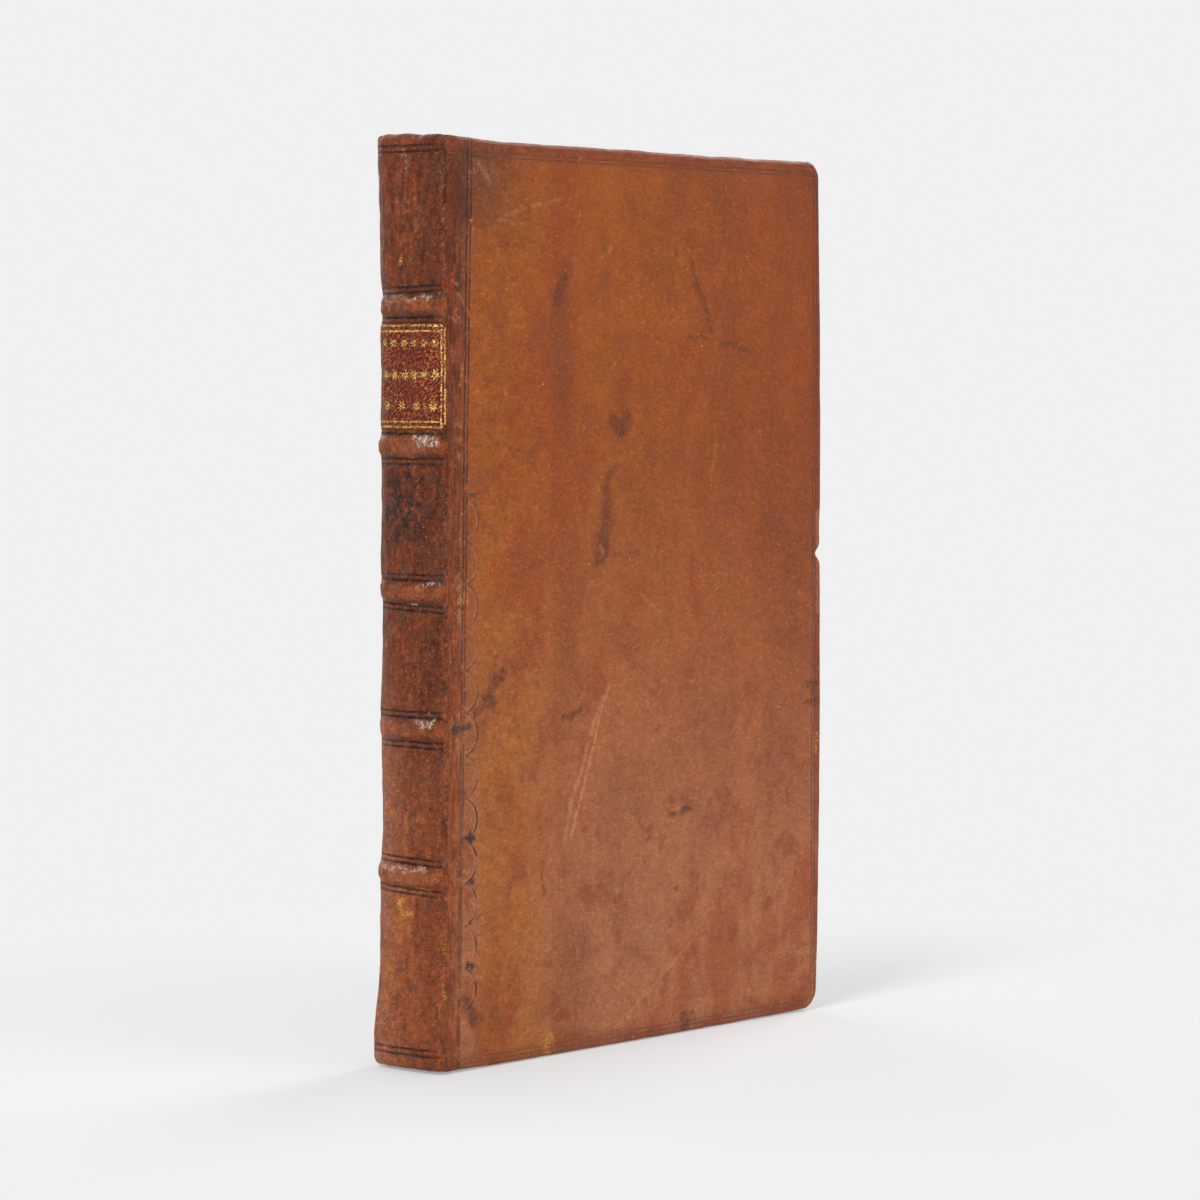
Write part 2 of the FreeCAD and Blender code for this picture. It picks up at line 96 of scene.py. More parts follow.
# Blind lines beside the joint, as their start at the tail and their lean, and round the board's other edges.
FILLETS = ((2.65, 0.016), (3.2, 0.0192))
BORDERS = {"head": (2.8, 3.7), "tail": (1.7, 2.7), "fore_edge": (2.0, 3.1)}
# The scalloped roll: pitch, radius and the height of its first cusp.
SCALLOP, SCALLOP_ROUND, SCALLOP_START = 9.47, 4.85, 3.96
# Depths below a cover's face of the leather's turned-in edge, the pastedown and the flyleaf.
TURN_IN, PASTED, FLYLEAF = 3.6, 3.62, 4.02
# The label's edges: towards the front and back cover, round the spine, and its foot and head.
LABEL_FRONT, LABEL_BACK = -10.42, 10.2
LABEL_FOOT, LABEL_HEAD = LABEL_LOW[2] + 1.6, LABEL_HIGH[2] + 0.95
# Rows of ornaments: height, number, pitch, size, points of each star and its turn.
ORNAMENTS = [(161.3, 6, 2.9, 1.3, 8, 0.0), (154.3, 6, 2.9, 1.55, 8, 0.4), (154.3, 5, 2.9, 0.45, 4, 0.0),
             (147.4, 4, 4.4, 1.4, 8, 0.4), (147.4, 3, 4.4, 0.6, 4, 0.0)]
# In metres: each lamp's place and size, and the camera's direction, aim and distance, with its roll in degrees.
LAMPS = {"key": ((-1.05, -0.25, 0.85), 0.5), "fill": ((0.35, -1.2, 0.5), 1.0), "back": ((0.5, 1.2, 0.7), 1.0),
         "rim": ((1.25, 0.2, 0.8), 0.7)}
LOOK, AIM, AWAY, ROLL = (0.7362, 0.6746, -0.0537), (-0.01041, -0.007562, 0.102867), 0.924, 0.09


def tone(red, green, blue):
    """A colour picked on screen, from 0 to 255, as the linear values that Blender uses."""
    def linear(value):
        value /= 255
        return value / 12.92 if value <= 0.04045 else ((value + 0.055) / 1.055) ** 2.4
    return tuple(linear(v) for v in (red, green, blue))


def ease(value, low, high):
    """0 below low, 1 above high, smooth between."""
    t = np.clip((value - low) / (high - low), 0, 1)
    return t * t * (3 - 2 * t)


def ripple(a, b, seed, longest, octaves=3):
    """An uneven surface, about -1 to 1, whose longest waves measure longest."""
    chance = np.random.default_rng(seed)
    total = 0
    for octave in range(octaves):
        for _ in range(3):
            turn, start = chance.uniform(0, math.pi), chance.uniform(0, 2 * math.pi)
            pace = 2 * math.pi * 2 ** octave / (longest * chance.uniform(0.8, 1.3))
            total = total + 0.5 ** octave * np.sin(pace * (a * math.cos(turn) + b * math.sin(turn)) + start)
    return total / 3


def length(name, description, default, low, high):
    return bpy.props.FloatProperty(
        name=name, description=description, default=default, min=low, max=high, unit="LENGTH")


def dye(name, description, default):
    return bpy.props.FloatVectorProperty(
        name=name, description=description, default=tone(*default), size=3, min=0, max=1, subtype="COLOR")


def lamp_power(name, description, default):
    return bpy.props.FloatProperty(
        name=name, description=description, default=default, min=0, max=60, unit="POWER")


class BookBinding(bpy.types.PropertyGroup):
    band_rise: length("Band rise", "How far a raised band stands out of the spine", 0.0013, 0, 0.004)
    band_half: length("Band half width", "From the middle of a raised band to its foot", 0.0030, 0.001, 0.006)
    tail_swell: length("Tail swell", "How far the foot of the spine has bulged", 0.0016, 0, 0.004)
    edge_round: length("Edge round", "Radius of the leather over a board's edge", 0.0011, 0.0003, 0.0016)
    head_corner: length("Head corner", "Radius of a board's top fore-edge corner", 0.0042, 0.0012, 0.008)
    tail_corner: length("Tail corner", "Radius of a board's bottom fore-edge corner", 0.005, 0.0012, 0.01)
    warp: length("Board warp", "Unevenness of a board's face", 0.00012, 0, 0.0004)


class BookCalf(bpy.types.PropertyGroup):
    gold: dye("Golden tan", "Calf beside the joint", (160, 92, 34))
    tan: dye("Tan", "Calf on the upper board", (150, 74, 16))
    # The paler lower board is partly rubbed calf and partly painted reflection of the pale floor.
    pale: dye("Rubbed tan", "Calf on the lower board", (164, 101, 65))
    red: dye("Red brown", "Calf at the edges and in the darker bands", (126, 50, 12))
    spine: dye("Spine brown", "Calf on the upper spine", (108, 48, 20))
    spine_low: dye("Lower spine", "Calf on the foot of the spine", (146, 74, 38))
    ink: dye("Tooling", "Blind lines, dark with heat and ink", (46, 38, 42))
    ochre: dye("Worn ochre", "Raw leather where the surface is gone", (200, 132, 60))
    gloss: bpy.props.FloatProperty(
        name="Roughness", description="Roughness of the handled surface", default=0.42, min=0.1, max=1,
        subtype="FACTOR")


class BookPaper(bpy.types.PropertyGroup):
    sheet: dye("Laid paper", "Flyleaves and pastedowns", (228, 216, 190))
    edge: dye("Leaf edges", "Trimmed edges of the text block", (205, 180, 138))
    leaves: bpy.props.IntProperty(
        name="Leaves", description="Leaves drawn in the text block", default=104, min=20, max=160)
    wraps: bpy.props.IntProperty(
        name="Endband wraps", description="Turns of thread over an endband's core", default=38, min=12, max=80)


class BookLabel(bpy.types.PropertyGroup):
    leather: dye("Label leather", "Grained goatskin", (134, 50, 20))
    gilt: dye("Gilt", "Rubbed gold leaf", (222, 174, 88))
    rule: length("Rule width", "Width of one gilt line", 0.00042, 0.0002, 0.001)


class BookStudio(bpy.types.PropertyGroup):
    backdrop: bpy.props.FloatProperty(
        name="Backdrop", description="Brightness of the pale background", default=tone(240, 240, 240)[0],
        min=0, max=1, subtype="FACTOR")
    ambient: bpy.props.FloatProperty(
        name="Ambient", description="Light from all around", default=0.38, min=0, max=2)
    key: lamp_power("Key light", "Soft light above the camera's left", 11.0)
    back: lamp_power("Back light", "Soft light on the back cover", 4.0)
    rim: lamp_power("Rim light", "Soft light from behind the fore-edge", 10.0)
    fill: lamp_power("Fill light", "Soft light on the front cover", 5.4)
    lens: bpy.props.FloatProperty(
        name="Focal length", description="Of the camera", default=120.8, min=20, max=300, unit="CAMERA")


GROUPS = {"book_binding": BookBinding, "book_calf": BookCalf, "book_paper": BookPaper,
          "book_label": BookLabel, "book_studio": BookStudio}


class Tree:
    """Adds nodes to a shader or geometry tree; a value is a number, a vector or another node's socket."""

    def __init__(self, tree):
        self.tree = tree

    def put(self, socket, value):
        if isinstance(value, bpy.types.NodeSocket):
            self.tree.links.new(value, socket)
        elif value is not None:
            socket.default_value = value

    def node(self, kind, values=(), **settings):
        node = self.tree.nodes.new(kind)
        for name, setting in settings.items():
            setattr(node, name, setting)
        for key, value in dict(values).items():
            self.put(node.inputs[key], value)
        return node

    def math(self, operation, *values, clamp=False):
        node = self.node("ShaderNodeMath", enumerate(values), operation=operation, use_clamp=clamp)
        return node.outputs[0]

    def vector(self, operation, *values):
        node = self.node("ShaderNodeVectorMath", enumerate(values), operation=operation)
        return node.outputs["Value" if operation in ("LENGTH", "DOT_PRODUCT", "DISTANCE") else 0]

    def fade(self, value, low, high, to_low=0.0, to_high=1.0):
        node = self.node("ShaderNodeMapRange", enumerate((value, low, high, to_low, to_high)),
                         interpolation_type="SMOOTHSTEP")
        return node.outputs[0]

    def noise(self, place, scale, detail=3.0, roughness=0.55, distortion=0.0):
        node = self.node("ShaderNodeTexNoise", {"Vector": place, "Scale": scale, "Detail": detail,
                                                "Roughness": roughness, "Distortion": distortion})
        return node.outputs[0]

    def mix(self, factor, a, b):
        a, b = ((*c, 1.0) if isinstance(c, tuple) and len(c) == 3 else c for c in (a, b))
        node = self.node("ShaderNodeMix", {0: factor, 6: a, 7: b}, data_type="RGBA")
        return node.outputs[2]

    def joined(self, operation, values):
        result = values[0]
        for value in values[1:]:
            result = self.math(operation, result, value)
        return result

    def most(self, *values):
        return self.joined("MAXIMUM", values)

    def least(self, *values):
        return self.joined("MINIMUM", values)

    def product(self, *values):
        return self.joined("MULTIPLY", values)

    def plus(self, *values):
        return self.joined("ADD", values)

    def minus(self, value, less):
        return self.math("SUBTRACT", value, less)

    def over(self, value, divisor):
        return self.math("DIVIDE", value, divisor)

    def absolute(self, value):
        return self.math("ABSOLUTE", value)

    def scaled(self, value, factor, start):
        """value times factor, plus start."""
        return self.math("MULTIPLY_ADD", value, factor, start)

    def point(self, x=None, y=None, z=None):
        return self.node("ShaderNodeCombineXYZ", enumerate((x, y, z))).outputs[0]

    def blend(self, factor, first, second):
        return self.node("ShaderNodeMixShader", {0: factor, 1: first.outputs[0], 2: second.outputs[0]})

    def uneven(self, skin, *layers):
        """skin made lighter and darker by noises; a layer is (noise, share)."""
        factor = 1.0
        for noise, share in layers:
            factor = self.math("MULTIPLY_ADD", self.minus(noise, 0.5), share, factor)
        return self.node("ShaderNodeVectorMath", {0: skin, "Scale": factor}, operation="SCALE").outputs[0]

    def stretched(self, place, scale, detail=4.0, roughness=0.6, distortion=0.0):
        moved = self.node("ShaderNodeMapping", {"Vector": place, "Scale": scale}).outputs[0]
        return self.noise(moved, 1.0, detail, roughness, distortion)

    def mark(self, name):
        return self.node("ShaderNodeAttribute", attribute_name=name).outputs["Fac"]

    def line(self, distance, half, soft):
        """1 within half of a line, 0 past half + soft."""
        return self.fade(self.absolute(distance), half, half + soft, 1.0, 0.0)


def colour(group, name):
    return tuple(getattr(getattr(bpy.context.scene, group), name))


def strokes(u, z, marks, wander):
    """The strongest of several marks at each point. A mark is (points, half width, softness, strength)."""
    u = u + wander * (ripple(u, z, 91, 5.0) + 0.6 * ripple(u, z, 92, 1.6))
    z = z + wander * (ripple(u, z, 93, 5.0) + 0.6 * ripple(u, z, 94, 1.6))
    found = np.zeros_like(u)
    for points, half, soft, strength in marks:
        points = points if len(points) > 1 else [points[0], points[0]]
        for (u0, z0), (u1, z1) in zip(points, points[1:]):
            run = (u1 - u0, z1 - z0)
            along = np.clip(((u - u0) * run[0] + (z - z0) * run[1]) / max(run[0] ** 2 + run[1] ** 2, 1e-6), 0, 1)
            away = np.hypot(u - u0 - run[0] * along, z - z0 - run[1] * along)
            found = np.maximum(found, strength * (1 - ease(away, half, half + soft)))
    return found


def add_marks(thing, across, **kinds):
    """Writes marks as vertex attributes. across gives each vertex's place, and 1 where marks show."""
    place = np.zeros(len(thing.data.vertices) * 3)
    thing.data.vertices.foreach_get("co", place)
    u, z, shown = across(place.reshape(-1, 3) * 1000)
    for name, (marks, wander) in kinds.items():
        attribute = thing.data.attributes.new(name, "FLOAT", "POINT")
        attribute.data.foreach_set("value", (strokes(u, z, marks, wander) * shown).astype(np.float32))


def empty_tree(owner):
    owner.use_nodes = True
    owner.node_tree.nodes.clear()
    return Tree(owner.node_tree)


def new_material(name):
    material = bpy.data.materials.new(name)
    tree = empty_tree(material)
    shader = tree.node("ShaderNodeBsdfPrincipled")
    tree.put(tree.node("ShaderNodeOutputMaterial").inputs["Surface"], shader.outputs[0])
    return material, tree, shader


def millimetres(tree):
    """Object coordinates in millimetres, whole and as separate values."""
    place = tree.node("ShaderNodeTexCoord").outputs["Object"]
    scaled = tree.node("ShaderNodeVectorMath", {0: place, "Scale": 1000.0}, operation="SCALE").outputs[0]
    parts = tree.node("ShaderNodeSeparateXYZ", {0: scaled}).outputs
    return scaled, parts[0], parts[1], parts[2]


def finish(tree, shader, skin, roughness, **others):
    """Sets the shader's own sockets; a name's underscores stand for spaces."""
    for name, value in {"Base_Color": skin, "Roughness": roughness, **others}.items():
        tree.put(shader.inputs[name.replace("_", " ")], value)


def bump(tree, shader, height, distance):
    node = tree.node("ShaderNodeBump", {"Height": height, "Distance": distance, "Strength": 1.0})
    tree.put(shader.inputs["Normal"], node.outputs[0])


STAINS = [
    ([(54.2, 143.4), (56.6, 142.0)], 1.1, 2.4, 0.95), ([(57.6, 144.6)], 1.2, 2.2, 0.8), ([(53.9, 142.6)], 0.4, 1.2, 1),
    ([(57, 147.5), (55.5, 151.5)], 0.6, 4.5, 0.25), ([(55.0, 133.9), (51.8, 131.4), (50.7, 128.2)], 0.3, 1.4, 0.6),
    ([(50.9, 128.2), (51.5, 121.4), (50.0, 117.2)], 0.75, 2.0, 0.8), ([(50.4, 115.6), (49.4, 112.9)], 1.2, 1.5, 0.95),
    ([(36.9, 175.8), (34.7, 171.4)], 0.9, 1.8, 0.85), ([(38.2, 178.4), (36.9, 175.8)], 0.5, 2.5, 0.45),
    ([(35.6, 171), (35.2, 160.5), (35.6, 150.5)], 1.0, 4.0, 0.36), ([(36, 148), (36.6, 140)], 0.6, 3.0, 0.2),
    ([(80.7, 180.9), (82.5, 175.5), (85.4, 169.3), (88.3, 163.9)], 0.15, 0.7, 0.8),
    ([(80, 163.9), (87.2, 162.8), (92.5, 162.1), (101.7, 160)], 0.1, 0.6, 0.7), ([(75.1, 182.6)], 0.3, 0.5, 0.8),
    ([(81.4, 174.8)], 0.3, 0.5, 0.7), ([(91.8, 162.3)], 0.3, 0.5, 0.6), ([(48.7, 145.1)], 0.3, 0.5, 0.7),
    ([(84.1, 56.3)], 0.45, 0.5, 1), ([(76.9, 52.2), (81, 53.1)], 0.5, 0.7, 1),
    ([(73.4, 51.5), (75.2, 51.9)], 0.25, 0.5, 0.9), ([(65.6, 49.4), (66.8, 49.8)], 0.2, 0.5, 0.7),
    ([(64.8, 46.8), (66.8, 47.1)], 0.2, 0.5, 0.7), ([(30.2, 44.9), (30.2, 37.8)], 0.1, 0.5, 0.6),
    ([(30.2, 38.4), (30.2, 37)], 0.25, 0.4, 0.8), ([(75.6, 34.7)], 0.35, 0.5, 0.9), ([(119.1, 33.8)], 0.3, 0.5, 0.8),
    ([(78.9, 4.6), (78.9, 0.9)], 0.8, 0.8, 0.9), ([(77.5, 4.2), (81.3, 4)], 0.4, 0.6, 0.8),
    ([(123.2, 79.8), (127.8, 79.9)], 0.25, 0.4, 1),
    ([(123.2, 75.4), (127.8, 75.5)], 0.25, 0.4, 1), ([(125.3, 80), (126.3, 75.2)], 0.4, 1.2, 0.55),
    ([(8.2, 10.6)], 0.4, 1.6, 0.6), ([(5.2, 15.1)], 0.3, 1.2, 0.6), ([(14.6, 12), (14.6, 10.5)], 0.9, 1.2, 0.5),
    ([(15.7, 87)], 1.0, 1.5, 1), ([(16.8, 88.3), (14.9, 85.9)], 0.5, 1.1, 0.9),
    ([(14.2, 85.5), (12.3, 83.6)], 0.5, 1.3, 0.8), ([(11.3, 83), (13.6, 81.7)], 0.8, 1.3, 1),
    ([(11.7, 81.4), (7.9, 79.8)], 0.4, 1.5, 0.8), ([(36.6, 76.8), (39, 77.1)], 0.25, 0.5, 1),
    ([(39.4, 76.2), (41, 77.9)], 0.35, 0.5, 1), ([(41.7, 77.8), (43.2, 79)], 0.3, 0.5, 1),
    ([(14.4, 12), (14.4, 9.8)], 1, 1.6, 0.5), ([(6.3, 13.9), (7.8, 12.1)], 1.1, 1.5, 1),
    ([(5.3, 15.5), (7.2, 14)], 0.5, 1.2, 0.8), ([(8.8, 12.2), (10.1, 11)], 0.4, 1.4, 0.7),
]
TREFOILS = [
    ([(1.2, 76.2), (3.4, 76.4), (6.2, 76.7)], 0.5, 0.7, 0.85),
    ([(5.2, 52.2), (7.8, 51.9)], 0.35, 0.5, 1), ([(6.7, 52.7), (6.8, 51.1)], 0.45, 0.5, 1),
    ([(7.2, 42)], 0.55, 0.35, 1), ([(5.8, 41.8), (7, 42)], 0.12, 0.3, 0.8), ([(6.5, 32.9)], 0.45, 0.35, 0.8),
    ([(5.8, 23.7), (7.1, 23.1)], 0.4, 0.45, 1), ([(7, 23.3)], 0.6, 0.4, 1),
    ([(6.6, 128.1), (8.2, 127.8)], 0.25, 0.4, 0.75), ([(8.2, 79.5), (7.7, 78.4)], 0.15, 0.35, 0.9),
]
SCRATCHES = [
    ([(54.5, 4.2), (67.2, 12), (81.4, 21.7)], 0.04, 0.35, 0.45),
    ([(17.8, 189.8), (25.5, 191.8), (35.6, 193.7)], 0.05, 0.4, 0.45),
    ([(13.5, 188.9), (29.4, 187.5)], 0.04, 0.3, 0.35), ([(48.9, 180.4), (52.9, 183.3)], 0.05, 0.35, 0.5),
    ([(40.6, 187.4), (42.4, 191.3)], 0.05, 0.35, 0.5), ([(62.2, 104.9), (70.2, 98.6)], 0.04, 0.3, 0.35),
    ([(60.8, 126.2), (65.2, 131.7)], 0.04, 0.3, 0.3), ([(87.1, 128.2), (89.6, 139.2)], 0.04, 0.3, 0.3),
    ([(19.5, 173.5), (20.3, 174.5)], 0.15, 0.3, 0.6), ([(9.4, 200.8), (12.9, 197)], 0.2, 0.5, 0.4),
    ([(6, 168.8), (6.9, 165)], 0.05, 0.4, 0.4), ([(49.1, 115.2), (50.3, 113.7)], 0.3, 0.5, 0.6),
    ([(127.2, 97.4), (127.2, 121.3)], 0.2, 1, 0.45),
    ([(52, 82.8), (50, 78.9), (47.3, 71), (44.7, 63.6), (41.2, 54.1), (39.5, 49.7)], 0.12, 0.5, 0.72),
    ([(50, 80.6), (47.1, 75), (44.5, 68.8), (42.4, 63.2), (39.5, 57.1), (37, 47)], 0.12, 0.6, 0.55),
]
BARE_SPOTS = [
    ([(31.9, 1.8), (32.3, 4.4)], 0.7, 1, 1), ([(25.1, 2.2)], 0.3, 0.6, 0.9), ([(7.3, 186.2)], 0.25, 0.6, 0.9),
    ([(6.8, 188.5), (6.6, 187.3)], 0.1, 0.4, 0.7), ([(3.6, 104.9), (3.9, 107.9)], 0.5, 1, 0.75),
    ([(3.2, 99.9), (4, 102.2)], 0.3, 0.8, 0.6), ([(42.4, 203.4)], 0.25, 0.5, 0.7),
    ([(127, 62.7), (127, 67.6)], 0.15, 0.5, 0.8), ([(127.7, 14.6), (125.1, 2.6), (123.2, 1.1)], 0.2, 1, 0.4),
    ([(4, 153.1), (4.2, 156.6)], 0.15, 0.5, 0.6), ([(3.7, 112.3), (3.8, 124.3)], 0.1, 0.5, 0.45),
]


def leather_finish(tree, shader, skin, height, roughness, place, depth, contrast):
    """Pores, hair lines and fine creases that every piece of calf has, in colour, gloss and relief."""
    pores = tree.stretched(place, (2.2, 2.2, 3.4), 3.0, 0.6)
    grain = tree.stretched(place, (0.8, 0.8, 1.3), 5.0, 0.7, 0.5)
    crease = tree.stretched(place, (0.22, 0.22, 0.3), 4.0, 0.65, 1.2)
    cracks = tree.fade(tree.absolute(tree.minus(crease, 0.5)), 0.0, 0.022, 1.0, 0.0)
    skin = tree.uneven(skin, (pores, 0.6 * contrast), (grain, 0.8 * contrast))
    skin = tree.mix(tree.product(cracks, tree.fade(grain, 0.45, 0.6), 0.24), skin, tone(62, 30, 14))
    skin = tree.mix(tree.fade(tree.plus(pores, grain), 1.14, 1.34, 0.0, 0.45), skin, tone(212, 148, 88))
    finish(tree, shader, skin, tree.math("MULTIPLY_ADD", tree.minus(grain, 0.5), 0.35, roughness, clamp=True))
    fine = tree.plus(tree.product(pores, 0.35), tree.product(grain, 0.9))
    fine = tree.minus(fine, tree.product(cracks, 0.25))
    bump(tree, shader, tree.plus(fine, height), depth)


def board_calf(name, used_side):
    """Calf of one board: tan with darker bands, blind lines round the edge, and wear."""
    material, tree, shader = new_material(name)
    calf = bpy.context.scene.book_calf
    place, x, _, z = millimetres(tree)
    u = tree.minus(x, JOINT)
    wide = tree.stretched(place, (0.05, 0.05, 0.022), 4.0, 0.6, 0.4)
    cloud = tree.noise(place, 0.13, 5.0, 0.65, 0.3)
    speck = tree.noise(place, 0.5, 5.0, 0.7)
    # Tan above, paler below; the paler lower part is partly rubbed calf and partly painted reflection of the floor.
    skin = tree.mix(tree.fade(tree.scaled(cloud, 60.0, z), 50.0, 185.0),
                    colour("book_calf", "pale"), colour("book_calf", "tan"))
    gold = tree.product(tree.fade(u, 6.5, 12.0), tree.fade(tree.scaled(wide, 30.0, u), 34.0, 56.0, 1.0, 0.0),
                        tree.fade(cloud, 0.3, 0.6, 0.35, 0.95))
    skin = tree.mix(gold, skin, tree.mix(tree.fade(z, 60.0, 150.0), colour("book_calf", "gold"), tone(151, 77, 16)))
    bow = tree.scaled(tree.minus(wide, 0.5), 22.0, u)
    bands = tree.product(tree.line(tree.minus(bow, 37.5), 0.5, 8.0), tree.fade(cloud, 0.3, 0.62, 0.2, 0.75),
                         tree.fade(z, 60.0, 150.0, 0.25, 1.0))
    bands = tree.most(bands, tree.product(tree.fade(bow, 45.0, 128.0, 0.0, 0.5), tree.fade(z, 20.0, 150.0, 0.1, 1.0)),
                      tree.fade(wide, 0.5, 0.66, 0.0, 0.6))
    skin = tree.mix(bands, skin, colour("book_calf", "red"))
    skin = tree.uneven(skin, (wide, 1.05), (cloud, 0.5), (speck, 0.7))
    skin = tree.mix(tree.fade(cloud, 0.48, 0.32, 0.0, 0.6), skin, tone(140, 64, 30))
    crackle = tree.product(tree.fade(u, 14.0, 44.0, 1.0, 0.0),
                           tree.minus(tree.stretched(place, (0.45, 0.45, 0.8), 6.0, 0.78, 0.6), 0.5))
    skin = tree.uneven(skin, (tree.plus(crackle, 0.5), 1.3))
    near, far = (tree.minus(u, tree.scaled(z, lean, start)) for start, lean in FILLETS)
    rough_edge = tree.product(tree.minus(cloud, 0.5), 7.0)
    # The strip beside the joint is darker: partly the joint's own darker leather, partly painted shade where the
    # rounded corner at the spine turns away from the light.
    strip = tree.fade(tree.plus(near, rough_edge), -2.2, 2.4, 0.92, 0.0)
    streaks = tree.stretched(place, (1.3, 1.3, 0.14), 4.0, 0.65, 0.4)
    dark = tree.mix(tree.fade(z, 20.0, 190.0), tone(112, 52, 24), tone(74, 30, 14))
    joint_skin_and_shade = tree.mix(tree.fade(streaks, 0.42, 0.6), dark,
                          tree.mix(tree.fade(z, 20.0, 190.0), tone(150, 74, 36), tone(124, 50, 18)))
    skin = tree.mix(strip, skin, tree.uneven(joint_skin_and_shade, (speck, 1.5)))
    top, low, side = tree.minus(HEIGHT, z), z, tree.minus(WIDTH, u)
    shaded = tree.product(tree.fade(u, 2.0, 32.0, 1.0, 0.0),
                          tree.fade(tree.scaled(cloud, -14.0, top), -1.0, 20.0, 0.9, 0.0))
    skin = tree.mix(shaded, skin, tone(86, 38, 13))
    net = tree.stretched(place, (0.95, 0.95, 0.6), 4.0, 0.7, 1.2)
    web = tree.fade(tree.absolute(tree.minus(net, 0.5)), 0.008, 0.03, 1.0, 0.0)
    dry = tree.product(tree.most(tree.product(strip, 0.45), shaded), web, tree.fade(cloud, 0.4, 0.6, 0.05, 0.45))
    skin = tree.mix(dry, skin, tone(200, 140, 96))
    border = tree.most(*[tree.fade(tree.plus(d, rough_edge), 0.2, reach, most, 0.0)
                        for d, reach, most in ((top, 5.4, 0.8), (low, 6.0, 0.62), (side, 3.6, 0.74))])
    skin = tree.mix(border, skin, tree.mix(tree.fade(speck, 0.4, 0.62), tone(136, 61, 30), tone(96, 46, 27)))
    broken = tree.fade(tree.noise(place, 0.4, 3.0, 0.7), 0.34, 0.52)
    lines = [tree.product(tree.most(tree.line(near, 0.1, 0.28), tree.line(far, 0.08, 0.26)), broken,
                          tree.fade(z, 60.0, 150.0, 0.6, 0.95))]
    faint = tree.fade(cloud, 0.36, 0.6, 0.2, 0.75)
    for distance, edge, weight in ((top, "head", 0.65), (low, "tail", 0.45), (side, "fore_edge", 0.9)):
        pair = tree.most(*[tree.line(tree.minus(distance, p), 0.06, 0.3) for p in BORDERS[edge]])
        lines.append(tree.product(pair, faint, weight))
    turn = tree.math("FRACT", tree.over(tree.minus(z, SCALLOP_START), SCALLOP))
    turn = tree.product(tree.minus(turn, 0.5), SCALLOP)
    bowed = tree.minus(u, tree.scaled(z, 0.0075, 3.55))
    ring = tree.math("SQRT", tree.plus(tree.product(bowed, bowed), tree.product(turn, turn)))
    kept = tree.product(tree.fade(bowed, 0.6, 1.6), tree.fade(z, 118.0, 140.0, 1.0, 0.2), tree.fade(z, 11.0, 13.0),
                        tree.fade(z, 190.0, 200.0, 1.0, 0.0))
    scallop = tree.product(tree.line(tree.minus(ring, SCALLOP_ROUND), 0.08, 0.26), kept)
    # The inner ring is a painted highlight along the inner edge of each scallop.
    inner = tree.product(tree.line(tree.minus(ring, SCALLOP_ROUND - 0.6), 0.04, 0.3), kept)
    pressed = tree.fade(tree.noise(place, 0.2, 2.0, 0.5), 0.42, 0.58, 0.15, 1.0)
    lines.append(tree.product(scallop, pressed, tree.fade(z, 55.0, 95.0, 1.0, 0.6)))
    tooled = tree.most(*lines)
    shell = tree.product(tree.fade(ring, 4.7, 4.4), kept, tree.fade(z, 130.0, 140.0, 1.0, 0.0), 0.22)
    skin = tree.mix(shell, skin, tone(122, 62, 36))
    # light holds the painted scallop highlight; on the used side the pale scratches join it below.
    light = tree.product(inner, 0.16)
    dents = tree.product(tree.most(tooled, tree.product(scallop, 0.35)), -0.8)
    rim = tree.least(top, low, side)
    if used_side:
        dirt = tree.product(tree.mark("dirt"), tree.fade(speck, 0.32, 0.6, 0.4, 1.0))
        skin = tree.mix(tree.product(dirt, 0.85), skin, tone(84, 42, 26))
        light = tree.most(light, tree.product(tree.mark("scratches"), tree.fade(speck, 0.34, 0.56, 0.15, 1.0), 0.62))
        bare = tree.product(tree.mark("bare"), tree.fade(tree.noise(place, 2.1, 3.0, 0.6), 0.46, 0.56, 0.05, 1.0))
        tooled = tree.most(tooled, tree.product(tree.mark("ink"), 0.9))
    else:
        bare = 0.0
        dirt = tree.fade(tree.noise(place, 0.3, 3.0, 0.6, 0.5), 0.68, 0.78, 0.0, 0.5)
        skin = tree.mix(dirt, skin, tone(74, 46, 34))
    edge_wear = tree.product(tree.fade(rim, -0.2, 1.3, 1.0, 0.0), tree.fade(speck, 0.58, 0.7, 0.0, 0.7))
    # Paints the pale scratches and the painted scallop highlight.
    skin = tree.mix(light, skin, tone(206, 150, 104))
    skin = tree.mix(tree.most(bare, edge_wear), skin, colour("book_calf", "ochre"))
    skin = tree.mix(tooled, skin, colour("book_calf", "ink"))
    fleck = tree.fade(tree.noise(place, 1.1, 2.0, 0.5), 0.72, 0.78, 0.0, 0.6)
    skin = tree.mix(fleck, skin, tone(214, 160, 100))
    rough = tree.fade(cloud, 0.35, 0.65, calf.gloss - 0.05, calf.gloss + 0.09)
    shader.inputs["Specular IOR Level"].default_value = 0.16
    tree.put(shader.inputs["Coat Weight"], tree.fade(cloud, 0.42, 0.66, 0.0, 0.12))
    shader.inputs["Coat Roughness"].default_value = 0.3
    wrinkles = tree.product(tree.stretched(place, (0.5, 0.5, 0.35), 5.0, 0.7, 1.5),
                            tree.fade(near, -3.0, 3.0, 2.6, 0.6))
    height = tree.minus(tree.plus(dents, wrinkles), tree.product(light, 0.6))
    leather_finish(tree, shader, skin, height, rough, place, 0.00016, 1.25)
    return material


def joint_wrinkles():
    """Light creases where each raised band pulls the leather of the joint."""
    chance, marks = np.random.default_rng(8), []
    for band in BANDS:
        for _ in range(9):
            u, z = chance.uniform(0.2, 3.5), band + chance.uniform(-4.5, 5.5)
            run = chance.uniform(1.0, 3.2)
            middle, end = (z - run * chance.uniform(*drop) for drop in ((0.1, 0.5), (0.3, 0.9)))
            marks.append(([(u, z), (u + run * 0.6, middle), (u + run, end)], 0.03, 0.3, chance.uniform(0.3, 0.8)))
    return marks


